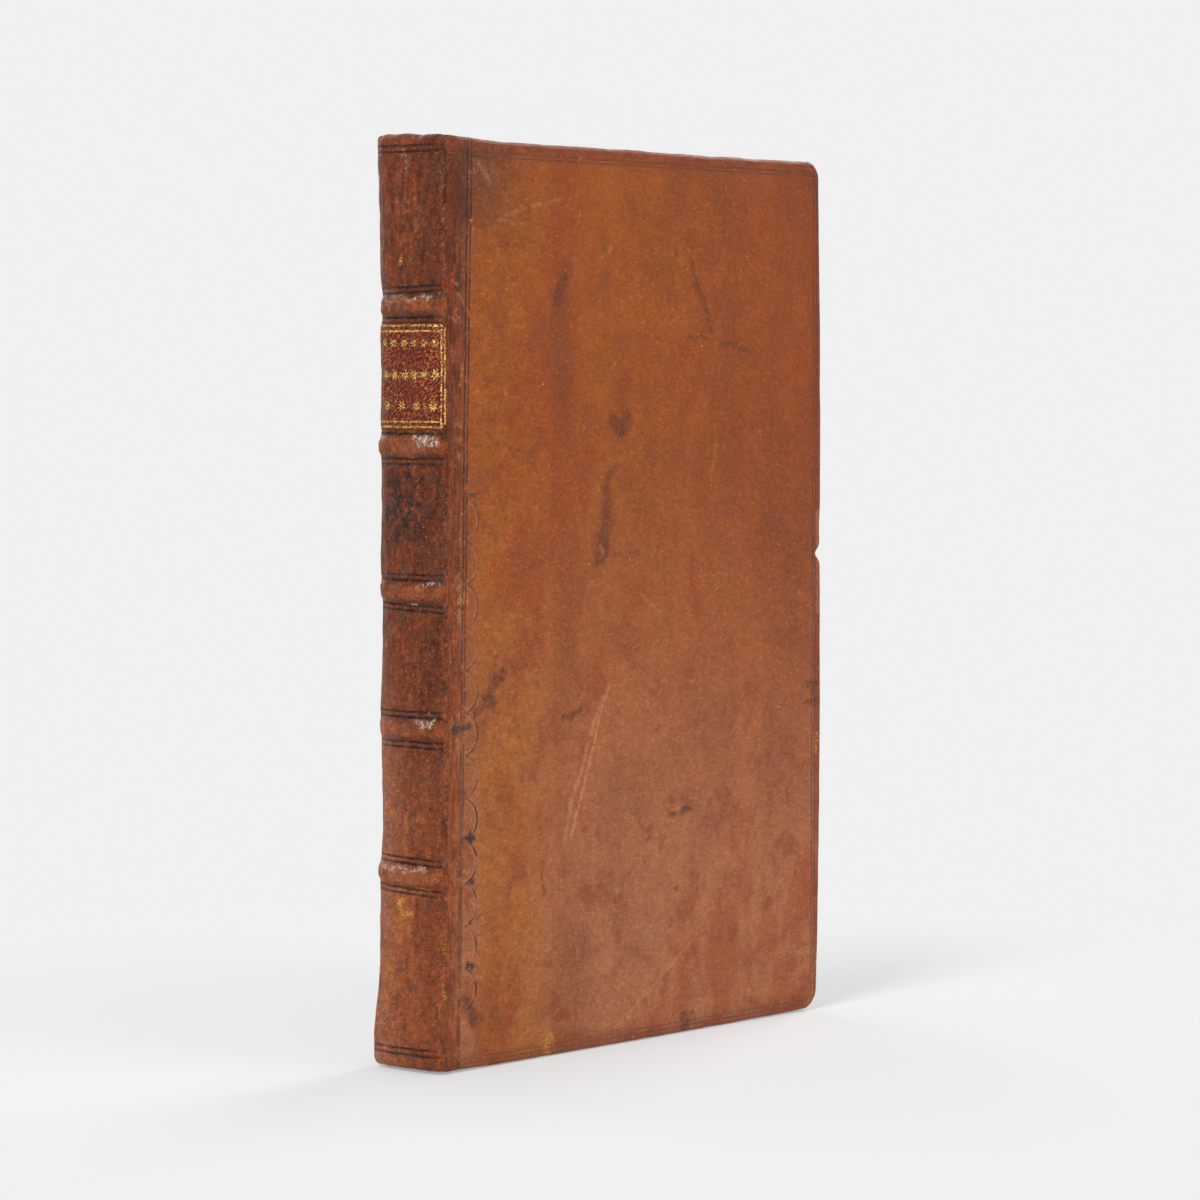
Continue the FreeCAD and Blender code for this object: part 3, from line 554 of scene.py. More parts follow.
SPINE_SPOTS = [
    ([(2.1, 178.7), (2.3, 179.9)], 0.3, 0.5, 1), ([(1.6, 37.3), (1.1, 35)], 0.5, 0.9, 1),
    ([(0.3, 34.4), (-0.7, 35.2)], 0.3, 0.7, 0.8), ([(-5.6, 41), (-4.3, 40.4)], 0.4, 0.5, 1),
    ([(-9.5, 30.8), (-9.7, 25.8)], 0.05, 0.35, 0.6), ([(-9.3, 19.9), (-9.5, 12.9)], 0.05, 0.35, 0.6),
    ([(-3.9, 6)], 0.2, 0.4, 0.6), ([(6.8, 94.6)], 0.2, 0.4, 0.8),
]
# Pale marks at the bands' front ends: partly real scuffs, partly painted glints of light.
SPINE_SCUFFS_AND_GLINTS = [
    ([(-2.7, 140.7), (-8, 139.8)], 0.35, 0.9, 1), ([(-3.8, 139.4), (-7.8, 139)], 0.2, 0.8, 0.8),
    ([(-2.9, 107.7), (-5.3, 108.2)], 0.1, 0.5, 0.9), ([(-5, 108), (-7.3, 108.9)], 0.2, 0.6, 1),
    ([(-3.4, 77.9), (-7, 77.4)], 0.25, 0.7, 1), ([(-4.2, 76.8), (-7.2, 78.3)], 0.1, 0.5, 0.8),
    ([(8.2, 45.6), (5.3, 45.2)], 0.2, 0.7, 0.8), ([(3.8, 45.1), (-2.6, 45)], 0.1, 0.7, 0.7),
    ([(-3.7, 45.3), (-5.2, 45)], 0.2, 0.6, 0.8), ([(6.8, 172.8), (-1.6, 170.7)], 0.1, 0.7, 0.4),
    ([(-2.2, 170.7), (-6.8, 171.5)], 0.15, 0.7, 0.7), ([(5.9, 170.2), (2.1, 171)], 0.2, 0.7, 0.4),
    ([(0.7, 203.6), (0.1, 198.6)], 0.05, 0.8, 0.3), ([(9.2, 76.4), (8.1, 72)], 0.1, 0.6, 0.5),
]


def spine_calf():
    """Calf of the spine: dark, glossy and crackled, streaked along its length, paler and redder at the foot."""
    material, tree, shader = new_material("calf_spine")
    calf = bpy.context.scene.book_calf
    place, x, y, z = millimetres(tree)
    s = tree.product(tree.math("ARCTAN2", y, tree.minus(AXIS, x)), SPINE_ROUND)
    cloud = tree.noise(place, 0.17, 5.0, 0.68, 0.5)
    speck = tree.noise(place, 0.45, 6.0, 0.74, 0.4)
    streaks = tree.stretched(place, (0.6, 0.6, 0.15), 7.0, 0.72, 0.6)
    patches = tree.stretched(place, (0.13, 0.13, 0.06), 4.0, 0.6, 0.8)
    skin = tree.mix(tree.fade(tree.scaled(cloud, 40.0, z), 30.0, 125.0),
                    colour("book_calf", "spine_low"), colour("book_calf", "spine"))
    high_up = tree.fade(z, 50.0, 110.0, 0.5, 1.0)
    skin = tree.mix(tree.product(tree.fade(streaks, 0.5, 0.62, 0.0, 0.65), high_up), skin, tone(56, 28, 15))
    skin = tree.mix(tree.product(tree.fade(streaks, 0.48, 0.36, 0.0, 0.6), high_up), skin, tone(158, 66, 24))
    # Painted light: the lower spine is lighter towards its back shoulder, where the light falls.
    skin = tree.mix(tree.product(tree.fade(s, -1.0, 6.0), tree.fade(z, 95.0, 60.0), 0.5), skin, tone(166, 104, 74))
    skin = tree.mix(tree.product(tree.fade(patches, 0.5, 0.64, 0.0, 0.7), tree.fade(z, 50.0, 130.0, 1.0, 0.45),
                                 tree.fade(s, -8.0, -1.0, 0.35, 1.0)), skin, tone(166, 96, 44))
    skin = tree.mix(tree.fade(cloud, 0.52, 0.66, 0.0, 0.6), skin, tone(58, 36, 22))
    skin = tree.uneven(skin, (cloud, 1.1), (speck, 1.5))
    # Painted shade: the spine is darker towards the front joint, where its round turns away from the light.
    skin = tree.mix(tree.product(tree.fade(s, -1.0, -8.0), tree.fade(z, 20.0, 120.0, 0.3, 0.45)),
                    skin, tone(66, 26, 14))
    dots = tree.fade(tree.noise(place, 1.25, 2.0, 0.55, 0.6), 0.63, 0.7, 0.0, 0.7)
    skin = tree.mix(dots, skin, tone(184, 80, 28))
    nearest = tree.least(*[tree.absolute(tree.minus(z, band)) for band in BANDS])
    tooled = tree.product(tree.mark("ink"), tree.fade(speck, 0.66, 0.52, 0.3, 1.0))
    residue = tree.product(tree.line(tree.minus(z, 125.5), 5.0, 6.0), tree.line(tree.minus(s, 1.0), 4.5, 3.0),
                           tree.fade(tree.noise(place, 0.5, 5.0, 0.75, 0.8), 0.46, 0.58, 0.1, 0.95))
    skin = tree.mix(residue, skin, tone(30, 22, 20))
    chips = tree.noise(place, 2.1, 3.0, 0.6)
    bare = tree.product(tree.mark("bare"), tree.fade(chips, 0.44, 0.54, 0.1, 1.0))
    # Near-white scuffs and painted glints, broken up by noise.
    scuffs = tree.product(tree.mark("scuffs"),
                          tree.fade(tree.stretched(place, (1.6, 1.6, 1.1), 3.0, 0.7, 1.0), 0.46, 0.56, 0.0, 1.0))
    crown = tree.product(tree.fade(nearest, 0.6, 2.5, 1.0, 0.0), tree.fade(speck, 0.42, 0.62, 0.25, 0.75))
    ends_worn = tree.most(tree.fade(z, HEIGHT - 0.6, HEIGHT + 0.9), tree.fade(z, 2.0, 0.2))
    corner = tree.most(ends_worn, tree.fade(tree.absolute(s), 8.8, 10.2))
    worn = tree.most(crown, tree.product(corner, tree.fade(speck, 0.5, 0.66, 0.0, 0.8)))
    skin = tree.mix(worn, skin, tone(168, 88, 44))
    # Painted sheen: a lighter warm band along both edges of the spine, where it turns towards the joints.
    painted_edge_sheen = tree.product(tree.fade(tree.absolute(s), 7.6, 9.4), tree.fade(z, 20.0, 120.0, 0.5, 0.15),
                        tree.fade(streaks, 0.54, 0.46))
    skin = tree.mix(painted_edge_sheen, skin, tone(166, 80, 42))
    net = tree.stretched(place, (0.95, 0.95, 0.6), 4.0, 0.7, 1.2)
    web = tree.fade(tree.absolute(tree.minus(net, 0.5)), 0.008, 0.03, 1.0, 0.0)
    dry = tree.most(tree.product(tree.line(tree.minus(s, 1.5), 0.8, 2.4), tree.fade(z, 150.0, 180.0, 0.0, 0.45)),
                    tree.fade(tree.absolute(s), 7.6, 9.6), tree.fade(nearest, 4.5, 2.5, 0.0, 0.8))
    dry = tree.product(tree.most(dry, 0.12), web, tree.fade(cloud, 0.36, 0.6, 0.2, 1.0))
    skin = tree.mix(tree.product(dry, 0.5), skin, tone(196, 138, 104))
    skin = tree.mix(tree.product(scuffs, 0.8), skin, tone(232, 212, 196))
    skin = tree.mix(bare, skin, tone(206, 140, 62))
    skin = tree.mix(tooled, skin, tone(30, 28, 32))
    rough = tree.fade(cloud, 0.35, 0.65, calf.gloss - 0.16, calf.gloss + 0.02)
    shader.inputs["Specular IOR Level"].default_value = 0.14
    tree.put(shader.inputs["Coat Weight"], tree.fade(tree.most(speck, cloud), 0.48, 0.68, 0.0, 0.26))
    shader.inputs["Coat Roughness"].default_value = 0.22
    creases = tree.stretched(place, (0.55, 0.55, 0.32), 5.0, 0.7, 1.2)
    height = tree.plus(tree.product(streaks, 1.5), tree.product(creases, 2.6))
    height = tree.minus(height, tree.product(tooled, 0.6))
    height = tree.plus(height, tree.product(dry, 0.5))
    leather_finish(tree, shader, skin, height, rough, place, 0.00024, 2.3)
    return material


def paper(name, base, mottled):
    """Aged laid paper: browned at its edges, foxed, with faint laid lines."""
    material, tree, shader = new_material(name)
    place, x, _, z = millimetres(tree)
    cloud = tree.noise(place, 0.03, 6.0, 0.6)
    skin = tree.mix(tree.fade(cloud, 0.4, 0.75, 0.0, 0.4), base, tone(206, 184, 146))
    rim = tree.least(tree.minus(z, 3.0), tree.minus(203.0, z), tree.minus(63.0, x))
    rim = tree.plus(rim, tree.product(cloud, -9.0))
    skin = tree.mix(tree.fade(rim, -4.0, 9.0, 0.75 * mottled, 0.0), skin, tone(150, 104, 62))
    foxing = tree.fade(tree.noise(place, 0.33, 3.0, 0.6), 0.7, 0.78, 0.0, 0.6 * mottled)
    skin = tree.mix(foxing, skin, tone(158, 106, 60))
    laid = tree.math("SINE", tree.product(x, 5.2))
    skin = tree.mix(tree.product(tree.fade(laid, 0.2, 1.0), 0.05), skin, tone(150, 126, 90))
    finish(tree, shader, skin, 0.9, Specular_IOR_Level=0.25)
    fibres = tree.plus(tree.noise(place, 1.2, 4.0, 0.7), tree.product(laid, 0.12))
    bump(tree, shader, fibres, 0.00006)
    return material


def leaf_edges():
    """Edges of the leaves: browned, streaked along each leaf, with painted shade in the gap between gatherings."""
    material, tree, shader = new_material("leaf_edges")
    place, _, y, z = millimetres(tree)
    streak = tree.stretched(place, (0.05, 7.0, 0.05), 3.0, 0.6)
    cloud = tree.noise(place, 0.09, 4.0, 0.6)
    skin = tree.mix(tree.fade(streak, 0.35, 0.65, 0.0, 0.55), colour("book_paper", "edge"), tone(160, 126, 82))
    skin = tree.mix(tree.fade(cloud, 0.45, 0.7, 0.0, 0.5), skin, tone(148, 108, 68))
    # Painted shade in the slight gap between gatherings.
    gathering_gap_shade = tree.absolute(tree.minus(tree.math("FRACT", tree.over(y, 0.92)), 0.5))
    skin = tree.mix(tree.fade(gathering_gap_shade, 0.43, 0.5, 0.0, 0.45), skin, tone(110, 78, 48))
    dust = tree.product(tree.fade(z, 200.0, 203.0), tree.fade(cloud, 0.3, 0.6, 0.3, 0.7))
    skin = tree.mix(dust, skin, tone(112, 92, 70))
    finish(tree, shader, skin, 0.85)
    bump(tree, shader, streak, 0.00005)
    return material


def goatskin():
    """Label leather: boarded goatskin, whose wavy ridges are rubbed tan over red-black furrows."""
    material, tree, shader = new_material("label_goatskin")
    place, _, y, z = millimetres(tree)
    across = tree.plus(tree.product(y, 2.1), tree.product(z, 2.3))
    along = tree.minus(tree.product(z, 1.05), tree.product(y, 0.9))
    slant = tree.point(x=across, y=along)
    ridges = tree.noise(slant, 1.0, 2.0, 0.55, 0.9)
    cloud = tree.noise(place, 0.3, 4.0, 0.65)
    ridge = tree.fade(ridges, 0.40, 0.60)
    skin = tree.mix(ridge, tone(54, 16, 16), colour("book_label", "leather"))
    skin = tree.mix(tree.product(tree.fade(ridges, 0.50, 0.66), tree.fade(cloud, 0.4, 0.62, 0.25, 1.0)),
                    skin, tone(196, 104, 44))
    skin = tree.mix(tree.fade(tree.noise(place, 1.8, 3.0, 0.7), 0.62, 0.7, 0.0, 0.5), skin, tone(196, 116, 52))
    finish(tree, shader, skin, tree.fade(cloud, 0.3, 0.7, 0.36, 0.52), Specular_IOR_Level=0.22)
    bump(tree, shader, ridge, 0.00014)
    return material


def gold_leaf():
    """Gilding: rubbed leaf that lets the leather under it through."""
    material, tree, shader = new_material("gold_leaf")
    place = millimetres(tree)[0]
    rubbed = tree.fade(tree.noise(place, 2.1, 3.0, 0.7), 0.45, 0.53)
    skin = tree.mix(rubbed, colour("book_label", "gilt"), tone(104, 46, 20))
    finish(tree, shader, skin, tree.fade(rubbed, 0.0, 1.0, 0.34, 0.6), Metallic=tree.fade(rubbed, 0.2, 0.8, 0.55, 0.0))
    bump(tree, shader, tree.noise(place, 3.0, 3.0, 0.7), 0.00012)
    return material


def fibre(name, light, dark, scale):
    """Hemp, pasteboard or silk: two tones of short fibres."""
    material, tree, shader = new_material(name)
    place = millimetres(tree)[0]
    strands = tree.stretched(place, scale, 5.0, 0.7, 0.8)
    finish(tree, shader, tree.mix(tree.fade(strands, 0.35, 0.65), light, dark), 0.88)
    bump(tree, shader, strands, 0.00025)
    return material


def make_object(name, points, faces, material, flip=False):
    """A smooth mesh object from points in millimetres; doubled points are merged."""
    faces = [tuple(reversed(f)) for f in faces] if flip else [tuple(f) for f in faces]
    mesh = bpy.data.meshes.new(name)
    mesh.from_pydata((np.asarray(points, float) / 1000).tolist(), [], faces)
    shape = bmesh.new()
    shape.from_mesh(mesh)
    bmesh.ops.remove_doubles(shape, verts=shape.verts, dist=2e-7)
    bmesh.ops.dissolve_degenerate(shape, edges=shape.edges, dist=1e-7)
    shape.to_mesh(mesh)
    shape.free()
    mesh.polygons.foreach_set("use_smooth", [True] * len(mesh.polygons))
    mesh.materials.append(material)
    thing = bpy.data.objects.new(name, mesh)
    bpy.context.scene.collection.objects.link(thing)
    return thing


def declare(thing, body, node=None):
    """Says which body a piece rides on, and the CAD node that it stands for."""
    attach(thing, body)
    if node:
        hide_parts(node)


def declare_hinge(thing, side, near, far):
    """Bakes a piece's placement into its mesh; the ends from near to far beside the joint are worked out but not kept.
    """
    ends = (((JOINT + u) / 1000, side * HALF / 1000, 0.1) for u in (near, far))
    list(ends)
    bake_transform(thing)


def grid_faces(rows, columns, first=0):
    index = first + np.arange(rows * columns).reshape(rows, columns)
    return np.stack([index[:-1, :-1], index[:-1, 1:], index[1:, 1:], index[1:, :-1]], -1).reshape(-1, 4).tolist()


def steps(*runs):
    """Places from run to run: (start, end, pitch), joined without repeats."""
    parts = [np.linspace(a, b, max(2, int(round((b - a) / pitch)) + 1)) for a, b, pitch in runs]
    return np.unique(np.round(np.concatenate(parts), 6))


def corner_depth(z):
    """How far the worn leather stands back from the sharp corner at the joint."""
    return 0.35 + 0.5 * ease(z, 90, 200) - 0.2 * ease(z, 50, 15)


def board_relief(u, z, warp, used_side):
    """Depth of a board's face below its flat: warp, the worn joint, blind lines and cord ends."""
    depth = warp * ripple(u, z, 4 if used_side else 9, 60) * ease(u, 0, 8)
    depth = depth + corner_depth(z) * (1 - np.clip(u / 3.2, 0, 1)) ** 2
    for (start, lean), sink in zip(FILLETS, (0.10, 0.08)):
        depth = depth + sink * np.exp(-((u - start - lean * z) / 0.3) ** 2)
    for band in BANDS:
        depth = depth - 0.28 * np.exp(-((z - band) / 2.6) ** 2) * (1 - ease(u, 1.0, 5.0))
    depth = depth + 0.05 * ripple(u, z, 21, 7) * (1 - ease(u, 3, 9))
    for distance, edge in ((HEIGHT - z, "head"), (z, "tail"), (WIDTH - u, "fore_edge")):
        for place in BORDERS[edge]:
            depth = depth + 0.05 * np.exp(-((distance - place) / 0.25) ** 2) * ease(u, 4, 7)
    return depth


def crept(u, z):
    """Heights of a cover's leather, which has crept up beside the headcap and worn at its edges."""
    joint, far = 1 - ease(u, -4, 20), ease(u, 60, 80) * ease(u, 126, 112)
    head, tail = 0.85 * joint - 0.22 * far, 0.08 + 0.34 * joint + 0.2 * ease(u, 90, 126)
    return z + head * ease(z, 192, HEIGHT) + tail * ease(z, 8, 0)


def rounded_grid(u, z, bend, binding):
    """A grid over u and z with round corners at the fore-edge, and each point's outward direction there."""
    grid_u, grid_z = np.meshgrid(u, z)
    out = np.zeros(grid_u.shape + (2,))
    for sign, corner in ((-1, binding.tail_corner), (1, binding.head_corner)):
        radius = corner * 1000 - bend
        centre_u, centre_z = WIDTH - bend - radius, (HEIGHT - bend - radius if sign > 0 else bend + radius)
        a, b = (grid_u - centre_u) / radius, (grid_z - centre_z) / radius * sign
        inside = (a > 0) & (b > 0)
        a, b = np.clip(a, 0, 1), np.clip(b, 0, 1)
        round_u, round_z = a * np.sqrt(1 - b * b / 2), b * np.sqrt(1 - a * a / 2) * sign
        grid_u = np.where(inside, centre_u + radius * round_u, grid_u)
        grid_z = np.where(inside, centre_z + radius * round_z, grid_z)
        out = np.where(inside[..., None], np.stack([round_u, round_z], -1), out)
    return grid_u, grid_z, out


def board_cover(side, used_side, material):
    """Leather over one board: its face, rounded edges, worn corners and mitred turn-ins."""
    binding = bpy.context.scene.book_binding
    bend = binding.edge_round * 1000
    wide, tall = (0.62, 0.57) if used_side else (1.3, 0.9)
    u = steps((0.15, 10.5, 0.3), (10.5, 121, wide), (121, WIDTH - bend, 0.35))
    z = steps((bend, 6, 0.35), (6, 200, tall), (200, HEIGHT - bend, 0.35))
    grid_u, grid_z, out = rounded_grid(u, z, bend, binding)
    rows, columns = grid_u.shape
    path = [(0, c) for c in range(columns)] + [(r, columns - 1) for r in range(1, rows)]
    path += [(rows - 1, c) for c in range(columns - 2, -1, -1)]
    edge = np.array([r * columns + c for r, c in path])
    edge_u, edge_z = grid_u.ravel()[edge], grid_z.ravel()[edge]
    lean = out.reshape(-1, 2)[edge]
    for n, (r, c) in enumerate(path):
        if not lean[n].any():
            lean[n] = (0, -1) if r == 0 else (0, 1) if r == rows - 1 else (1, 0)
    lean /= np.linalg.norm(lean, axis=1)[:, None]
    wear = 0.10 * ripple(edge_u, edge_z, 31, 14) - 0.06

    def pull(points_u, points_z):
        """The notch in the fore-edge, and the edge's own unevenness."""
        hollow = NOTCH[1] * np.exp(-((points_z - NOTCH[0]) / (NOTCH[2] * 0.62)) ** 2) * used_side
        hollow = hollow + 0.12 * ripple(points_z, points_z * 0, 17 if used_side else 5, 40)
        hollow = hollow + 0.4 * np.exp(-((points_z - 117.5) / 5) ** 2) * used_side
        hollow = hollow - 0.5 - 0.25 * ease(points_z, 100, 80) + 1.4 * np.abs(points_z / HEIGHT * 2 - 1) ** 2.5
        return points_u - hollow * ease(points_u, WIDTH - 7, WIDTH - 1)

    layers = [(pull(grid_u, grid_z).ravel(), grid_z.ravel(),
               board_relief(grid_u, grid_z, binding.warp * 1000, used_side).ravel())]
    base_depth = layers[0][2][edge]
    thick = TURN_IN
    profile = [(bend * math.sin(t), bend * (1 - math.cos(t))) for t in np.radians((18, 36, 54, 72, 90))]
    profile += [(bend, 1.9), (bend, thick - 0.75)]
    profile += [(bend - 0.75 * (1 - math.cos(t)), thick - 0.75 + 0.75 * math.sin(t)) for t in np.radians((30, 60, 90))]
    for offset, depth in profile:
        share = np.clip(depth / 0.8, 0, 1)
        at_joint = 0.15 + 0.4 * np.clip((depth - 0.5) / 0.4, 0, 1)
        place_u = np.maximum(edge_u + lean[:, 0] * (offset + wear * offset), at_joint)
        place_z = edge_z + lean[:, 1] * (offset + wear * offset)
        layers.append((pull(place_u, place_z), place_z, depth + base_depth * (1 - share)))
    last_u, last_z = layers[-1][0], layers[-1][1]
    inner_u, inner_z = np.minimum(last_u, WIDTH - 14), np.clip(last_z, 14, HEIGHT - 14)
    inner_u = inner_u + 0.3 * ripple(inner_z, inner_u, 8, 25) * (inner_u > WIDTH - 15)
    for share, depth in ((0.25, thick), (0.6, thick), (1.0, thick), (1.0, thick - 0.4)):
        layers.append((last_u + (inner_u - last_u) * share, last_z + (inner_z - last_z) * share,
                       np.full_like(last_u, depth)))
    points = [np.stack([JOINT + a, side * (HALF - d), crept(a, b)], -1) for a, b, d in layers]
    faces = grid_faces(rows, columns)
    count, start = len(edge), rows * columns
    previous = edge
    for _ in layers[1:]:
        current = start + np.arange(count)
        faces += np.stack([previous[1:], previous[:-1], current[:-1], current[1:]], -1).tolist()
        previous, start = current, start + count
    name = "front_board_calf" if side < 0 else "back_board_calf"
    cover = make_object(name, np.concatenate(points), faces, material, side > 0)
    if used_side:
        add_marks(cover, lambda p: (p[:, 0] - JOINT, p[:, 2], side * p[:, 1] > HALF - 2.2),
                  dirt=(STAINS, 0.6), scratches=(SCRATCHES + joint_wrinkles(), 0.15), bare=(BARE_SPOTS, 0.5),
                  ink=(TREFOILS, 0.12))
    return cover


def blind_lines():
    """The spine's blind lines as (height, tilt)."""
    lines = [(level, 0.0) for level in HEAD_RULES + TAIL_RULES]
    for band, tilts in zip(BANDS, TILTS):
        lines += [(band + sign * away, tilt) for sign, tilt in zip((1, -1), tilts) for away in (2.75, 3.95)]
    return lines


def spine_relief(s, z, rise, half):
    """Height of the spine's leather over its plain round: bands, blind pairs and unevenness."""
    height = 0.07 * ripple(s * 2.4, z, 3, 24) + 0.05 * ripple(s * 3, z, 6, 6) + 0.30 * ripple(s * 0.3, z, 12, 26, 2)
    fading = 1 - ease(np.abs(s), 7.2, 10.2)
    for n, band in enumerate(BANDS):
        away = np.abs(z - band - TILTS[n][1] * s + 0.15 * ripple(s, z * 0, 40 + n, 14))
        uneven = 1 + 0.12 * ripple(s, z * 0, 50 + n, 9)
        height = height + rise * uneven * (1 - ease(away, half * 0.25, half)) * (0.12 + 0.88 * fading)
    for level, tilt in blind_lines():
        height = height - 0.12 * np.exp(-((z - level - tilt * s) / 0.28) ** 2) * (np.abs(s) < 9)
    return height


def shoulder(s, z):
    """How far the leather has plumped out of the round beside each joint."""
    back = 1.05 + 0.62 * ease(z, 170, 186) - 0.08 * ease(z, 62, 45)
    front = 0.3 + 0.7 * ease(z, 165, 200)
    plump = back * ease(s, -1.0, 7.5) + front * ease(-s, 2.0, 8.0)
    flat = sum(np.exp(-((z - BANDS[n]) / 3.0) ** 2) * share for n, share in ((0, 0.75), (2, 0.5), (3, 0.5)))
    return plump * (1 - flat * (s > 0))


def spine_surface(s, z, lift=0.0):
    """A point of the spine's leather, from its place round the spine and its height, in the row frame."""
    binding = bpy.context.scene.book_binding
    height = spine_relief(s, z, binding.band_rise * 1000, binding.band_half * 1000) + lift
    near = np.clip(SPINE_REACH - np.abs(s), 0, None)
    height = height * ease(near, 0.0, 1.2) + shoulder(s, z) * ease(near, -0.15, 1.1)
    angle = s / SPINE_ROUND
    swell = binding.tail_swell * 1000 * (ease(z, 46, 6) + 0.3 * ease(z, 17, 6)) + 0.3 * ease(z, 196, 202)
    x = AXIS - (SPINE_ROUND + height) * np.cos(angle) - swell * (0.35 + 0.65 * ease(near, 0, 2.4))
    y = (SPINE_ROUND + height) * np.sin(angle)
    flank = 0.45 * swell * np.sin(math.pi * np.clip(near / 3.0, 0, 1))
    flank = flank - corner_depth(z) * (1 - np.clip(near / 3.2, 0, 1)) ** 2
    bumps = sum(0.28 * np.exp(-((z - band) / 2.6) ** 2) for band in BANDS) * (1 - ease(near, 0.5, 4.0))
    y = y + np.sign(s) * (flank + bumps)
    return x, y


def on_spine(s, z, lift):
    """Points that lie on the spine's leather, lift above it."""
    x, y = spine_surface(s, z, lift)
    return np.stack([x, y, z], -1)


def drawn_lines():
    """The blind lines as marks, each heavier in the middle, with uneven ends."""
    chance, marks = np.random.default_rng(5), []
    for level, tilt in blind_lines():
        start, end = chance.uniform(-9.3, -8.7), chance.uniform(8.6, 9.4)
        stops = np.linspace(start, end, 9)
        for a, b in zip(stops, stops[1:]):
            weight = chance.uniform(0.72, 1.0) * (0.75 if a < -7 or b > 7 else 1)
            marks.append(([(a, level + tilt * a), (b, level + tilt * b)], chance.uniform(0.12, 0.18), 0.2, weight))
    return marks


def spine_cover(material):
    """Leather over the spine, from joint to joint, folded in over the endbands at head and tail."""
    s = np.concatenate([np.linspace(-SPINE_REACH + 0.12, -7, 16), np.linspace(-7, 7, 38)[1:-1],
                        np.linspace(7, SPINE_REACH - 0.12, 16)])
    wide = 1 - ease(np.abs(s), 8.6, 10.45)
    fold = 1.9 + (0.9 + shoulder(s, HEIGHT)) * wide
    turn = 0.4 + 1.5 * wide
    low = np.zeros_like(s) + 0.46 + 0.1 * (1 + ripple(s, s * 0, 77, 16)) + 0.15 * ease(-s, 7.0, 10.0)
    high = HEIGHT + 1.0 + 0.3 * ease(s, -5.0, 3.0) + 0.12 * ripple(s, s * 0, 78, 5)
    high = high - 0.14 * np.exp(-((s + 3.0) / 1.5) ** 2) - 0.35 * ease(np.abs(s), 8.0, 10.2)
    rows = []
    for angle in np.radians((90, 75, 60, 45, 30, 15)):
        rows.append((turn * (1 - math.cos(angle)), low + turn * (1 - math.sin(angle))))
    lines = sorted(level for level, _ in blind_lines())
    levels = np.arange(2.0, HEIGHT - 0.6, 0.06)
    close = np.abs(levels[:, None] - np.array(lines)).min(1) < 0.75
    levels = levels[np.where(close, np.arange(len(levels)) % 2 == 0, np.arange(len(levels)) % 4 == 0)]
    share = ((levels - levels[0]) / (levels[-1] - levels[0]))[:, None]
    middle = low + turn + share * (high - low - 2 * turn)
    rows += [(np.zeros_like(s), level) for level in middle]
    for angle in np.radians((15, 30, 45, 60, 75, 90)):
        rows.append((turn * (1 - math.cos(angle)), high - turn * (1 - math.sin(angle))))
    ends = []
    for rest, sign, edge in ((fold, -1, high), (fold, 1, low)):
        inner = np.minimum(0.45, fold / 4)
        curl = [(rest - inner * (1 - math.sin(t)), edge + sign * inner * (1 - math.cos(t)))
                for t in np.radians((30, 60, 90))]
        ends.append([(rest - inner, edge)] + curl + [(rest, edge + sign * (0.55 + 2.0 * (1 - wide)))])
    rows = ends[1][::-1] + rows + ends[0]
    points = []
    for inward, level in rows:
        x, y = spine_surface(s, level)
        away = np.hypot(x - AXIS, y)
        scale = (away - inward) / away
        flat = np.clip(np.abs(s) - 8.5, 0, 1)
        new_x = AXIS + (x - AXIS) * scale
        new_y = y * (1 + (scale - 1) * (1 - flat)) - np.sign(s) * inward * flat
        points.append(np.stack([np.where(flat > 0, x + (new_x - x) * (1 - flat), new_x), new_y, level + s * 0], -1))
    points = np.array(points)
    cover = make_object("spine_calf", points.reshape(-1, 3), grid_faces(len(rows), len(s)), material, True)
    add_marks(cover, lambda p: (np.arctan2(p[:, 1], AXIS - p[:, 0]) * SPINE_ROUND, p[:, 2], 1),
              bare=(SPINE_SPOTS, 0.6), scuffs=(SPINE_SCUFFS_AND_GLINTS, 0.4), ink=(drawn_lines(), 0.06))
    return cover


def tube(name, loops, material, flip=False):
    """A closed strip: one loop of points at each height, capped at both ends."""
    loops = np.asarray(loops)
    count = loops.shape[1]
    faces = grid_faces(len(loops), count)
    index = np.arange(len(loops)) * count
    faces += [(a + count - 1, a, b, b + count - 1) for a, b in zip(index[:-1], index[1:])]
    faces += [tuple(range(count))[::-1], tuple(index[-1] + np.arange(count))]
    return make_object(name, loops.reshape(-1, 3), faces, material, flip)


def joint_strip(side, material):
    """The leather of one joint, from the spine's edge to the board."""
    z = np.linspace(0.25, HEIGHT - 0.15, 420)
    s_edge = side * (SPINE_REACH - 0.12)
    edge_x, edge_y = spine_surface(np.full_like(z, s_edge), z)
    used = side < 0
    warp = bpy.context.scene.book_binding.warp * 1000
    across = [(edge_x, edge_y)]
    for u in (-0.08, 0.0, 0.08, 0.17):
        depth = board_relief(np.full_like(z, max(u, 0)), z, warp, used)
        across.append((np.full_like(z, JOINT + u), side * (HALF - depth)))
    outer = np.stack([np.stack([x, y, crept(0.0, z)], -1) for x, y in across], 1)
    inner = outer[:, ::-1].copy()
    ends = ease(np.abs(z / HEIGHT - 0.5), 0.4885, 0.4945)
    inner[:, :, 1] = side * (HALF - 0.75 - 1.6 * ends)[:, None]
    inner[:, 0, 0] += 0.36 * ends
    loops = np.concatenate([outer, inner], 1)
    name = "front_joint_leather" if used else "back_joint_leather"
    return tube(name, loops, material, side > 0)


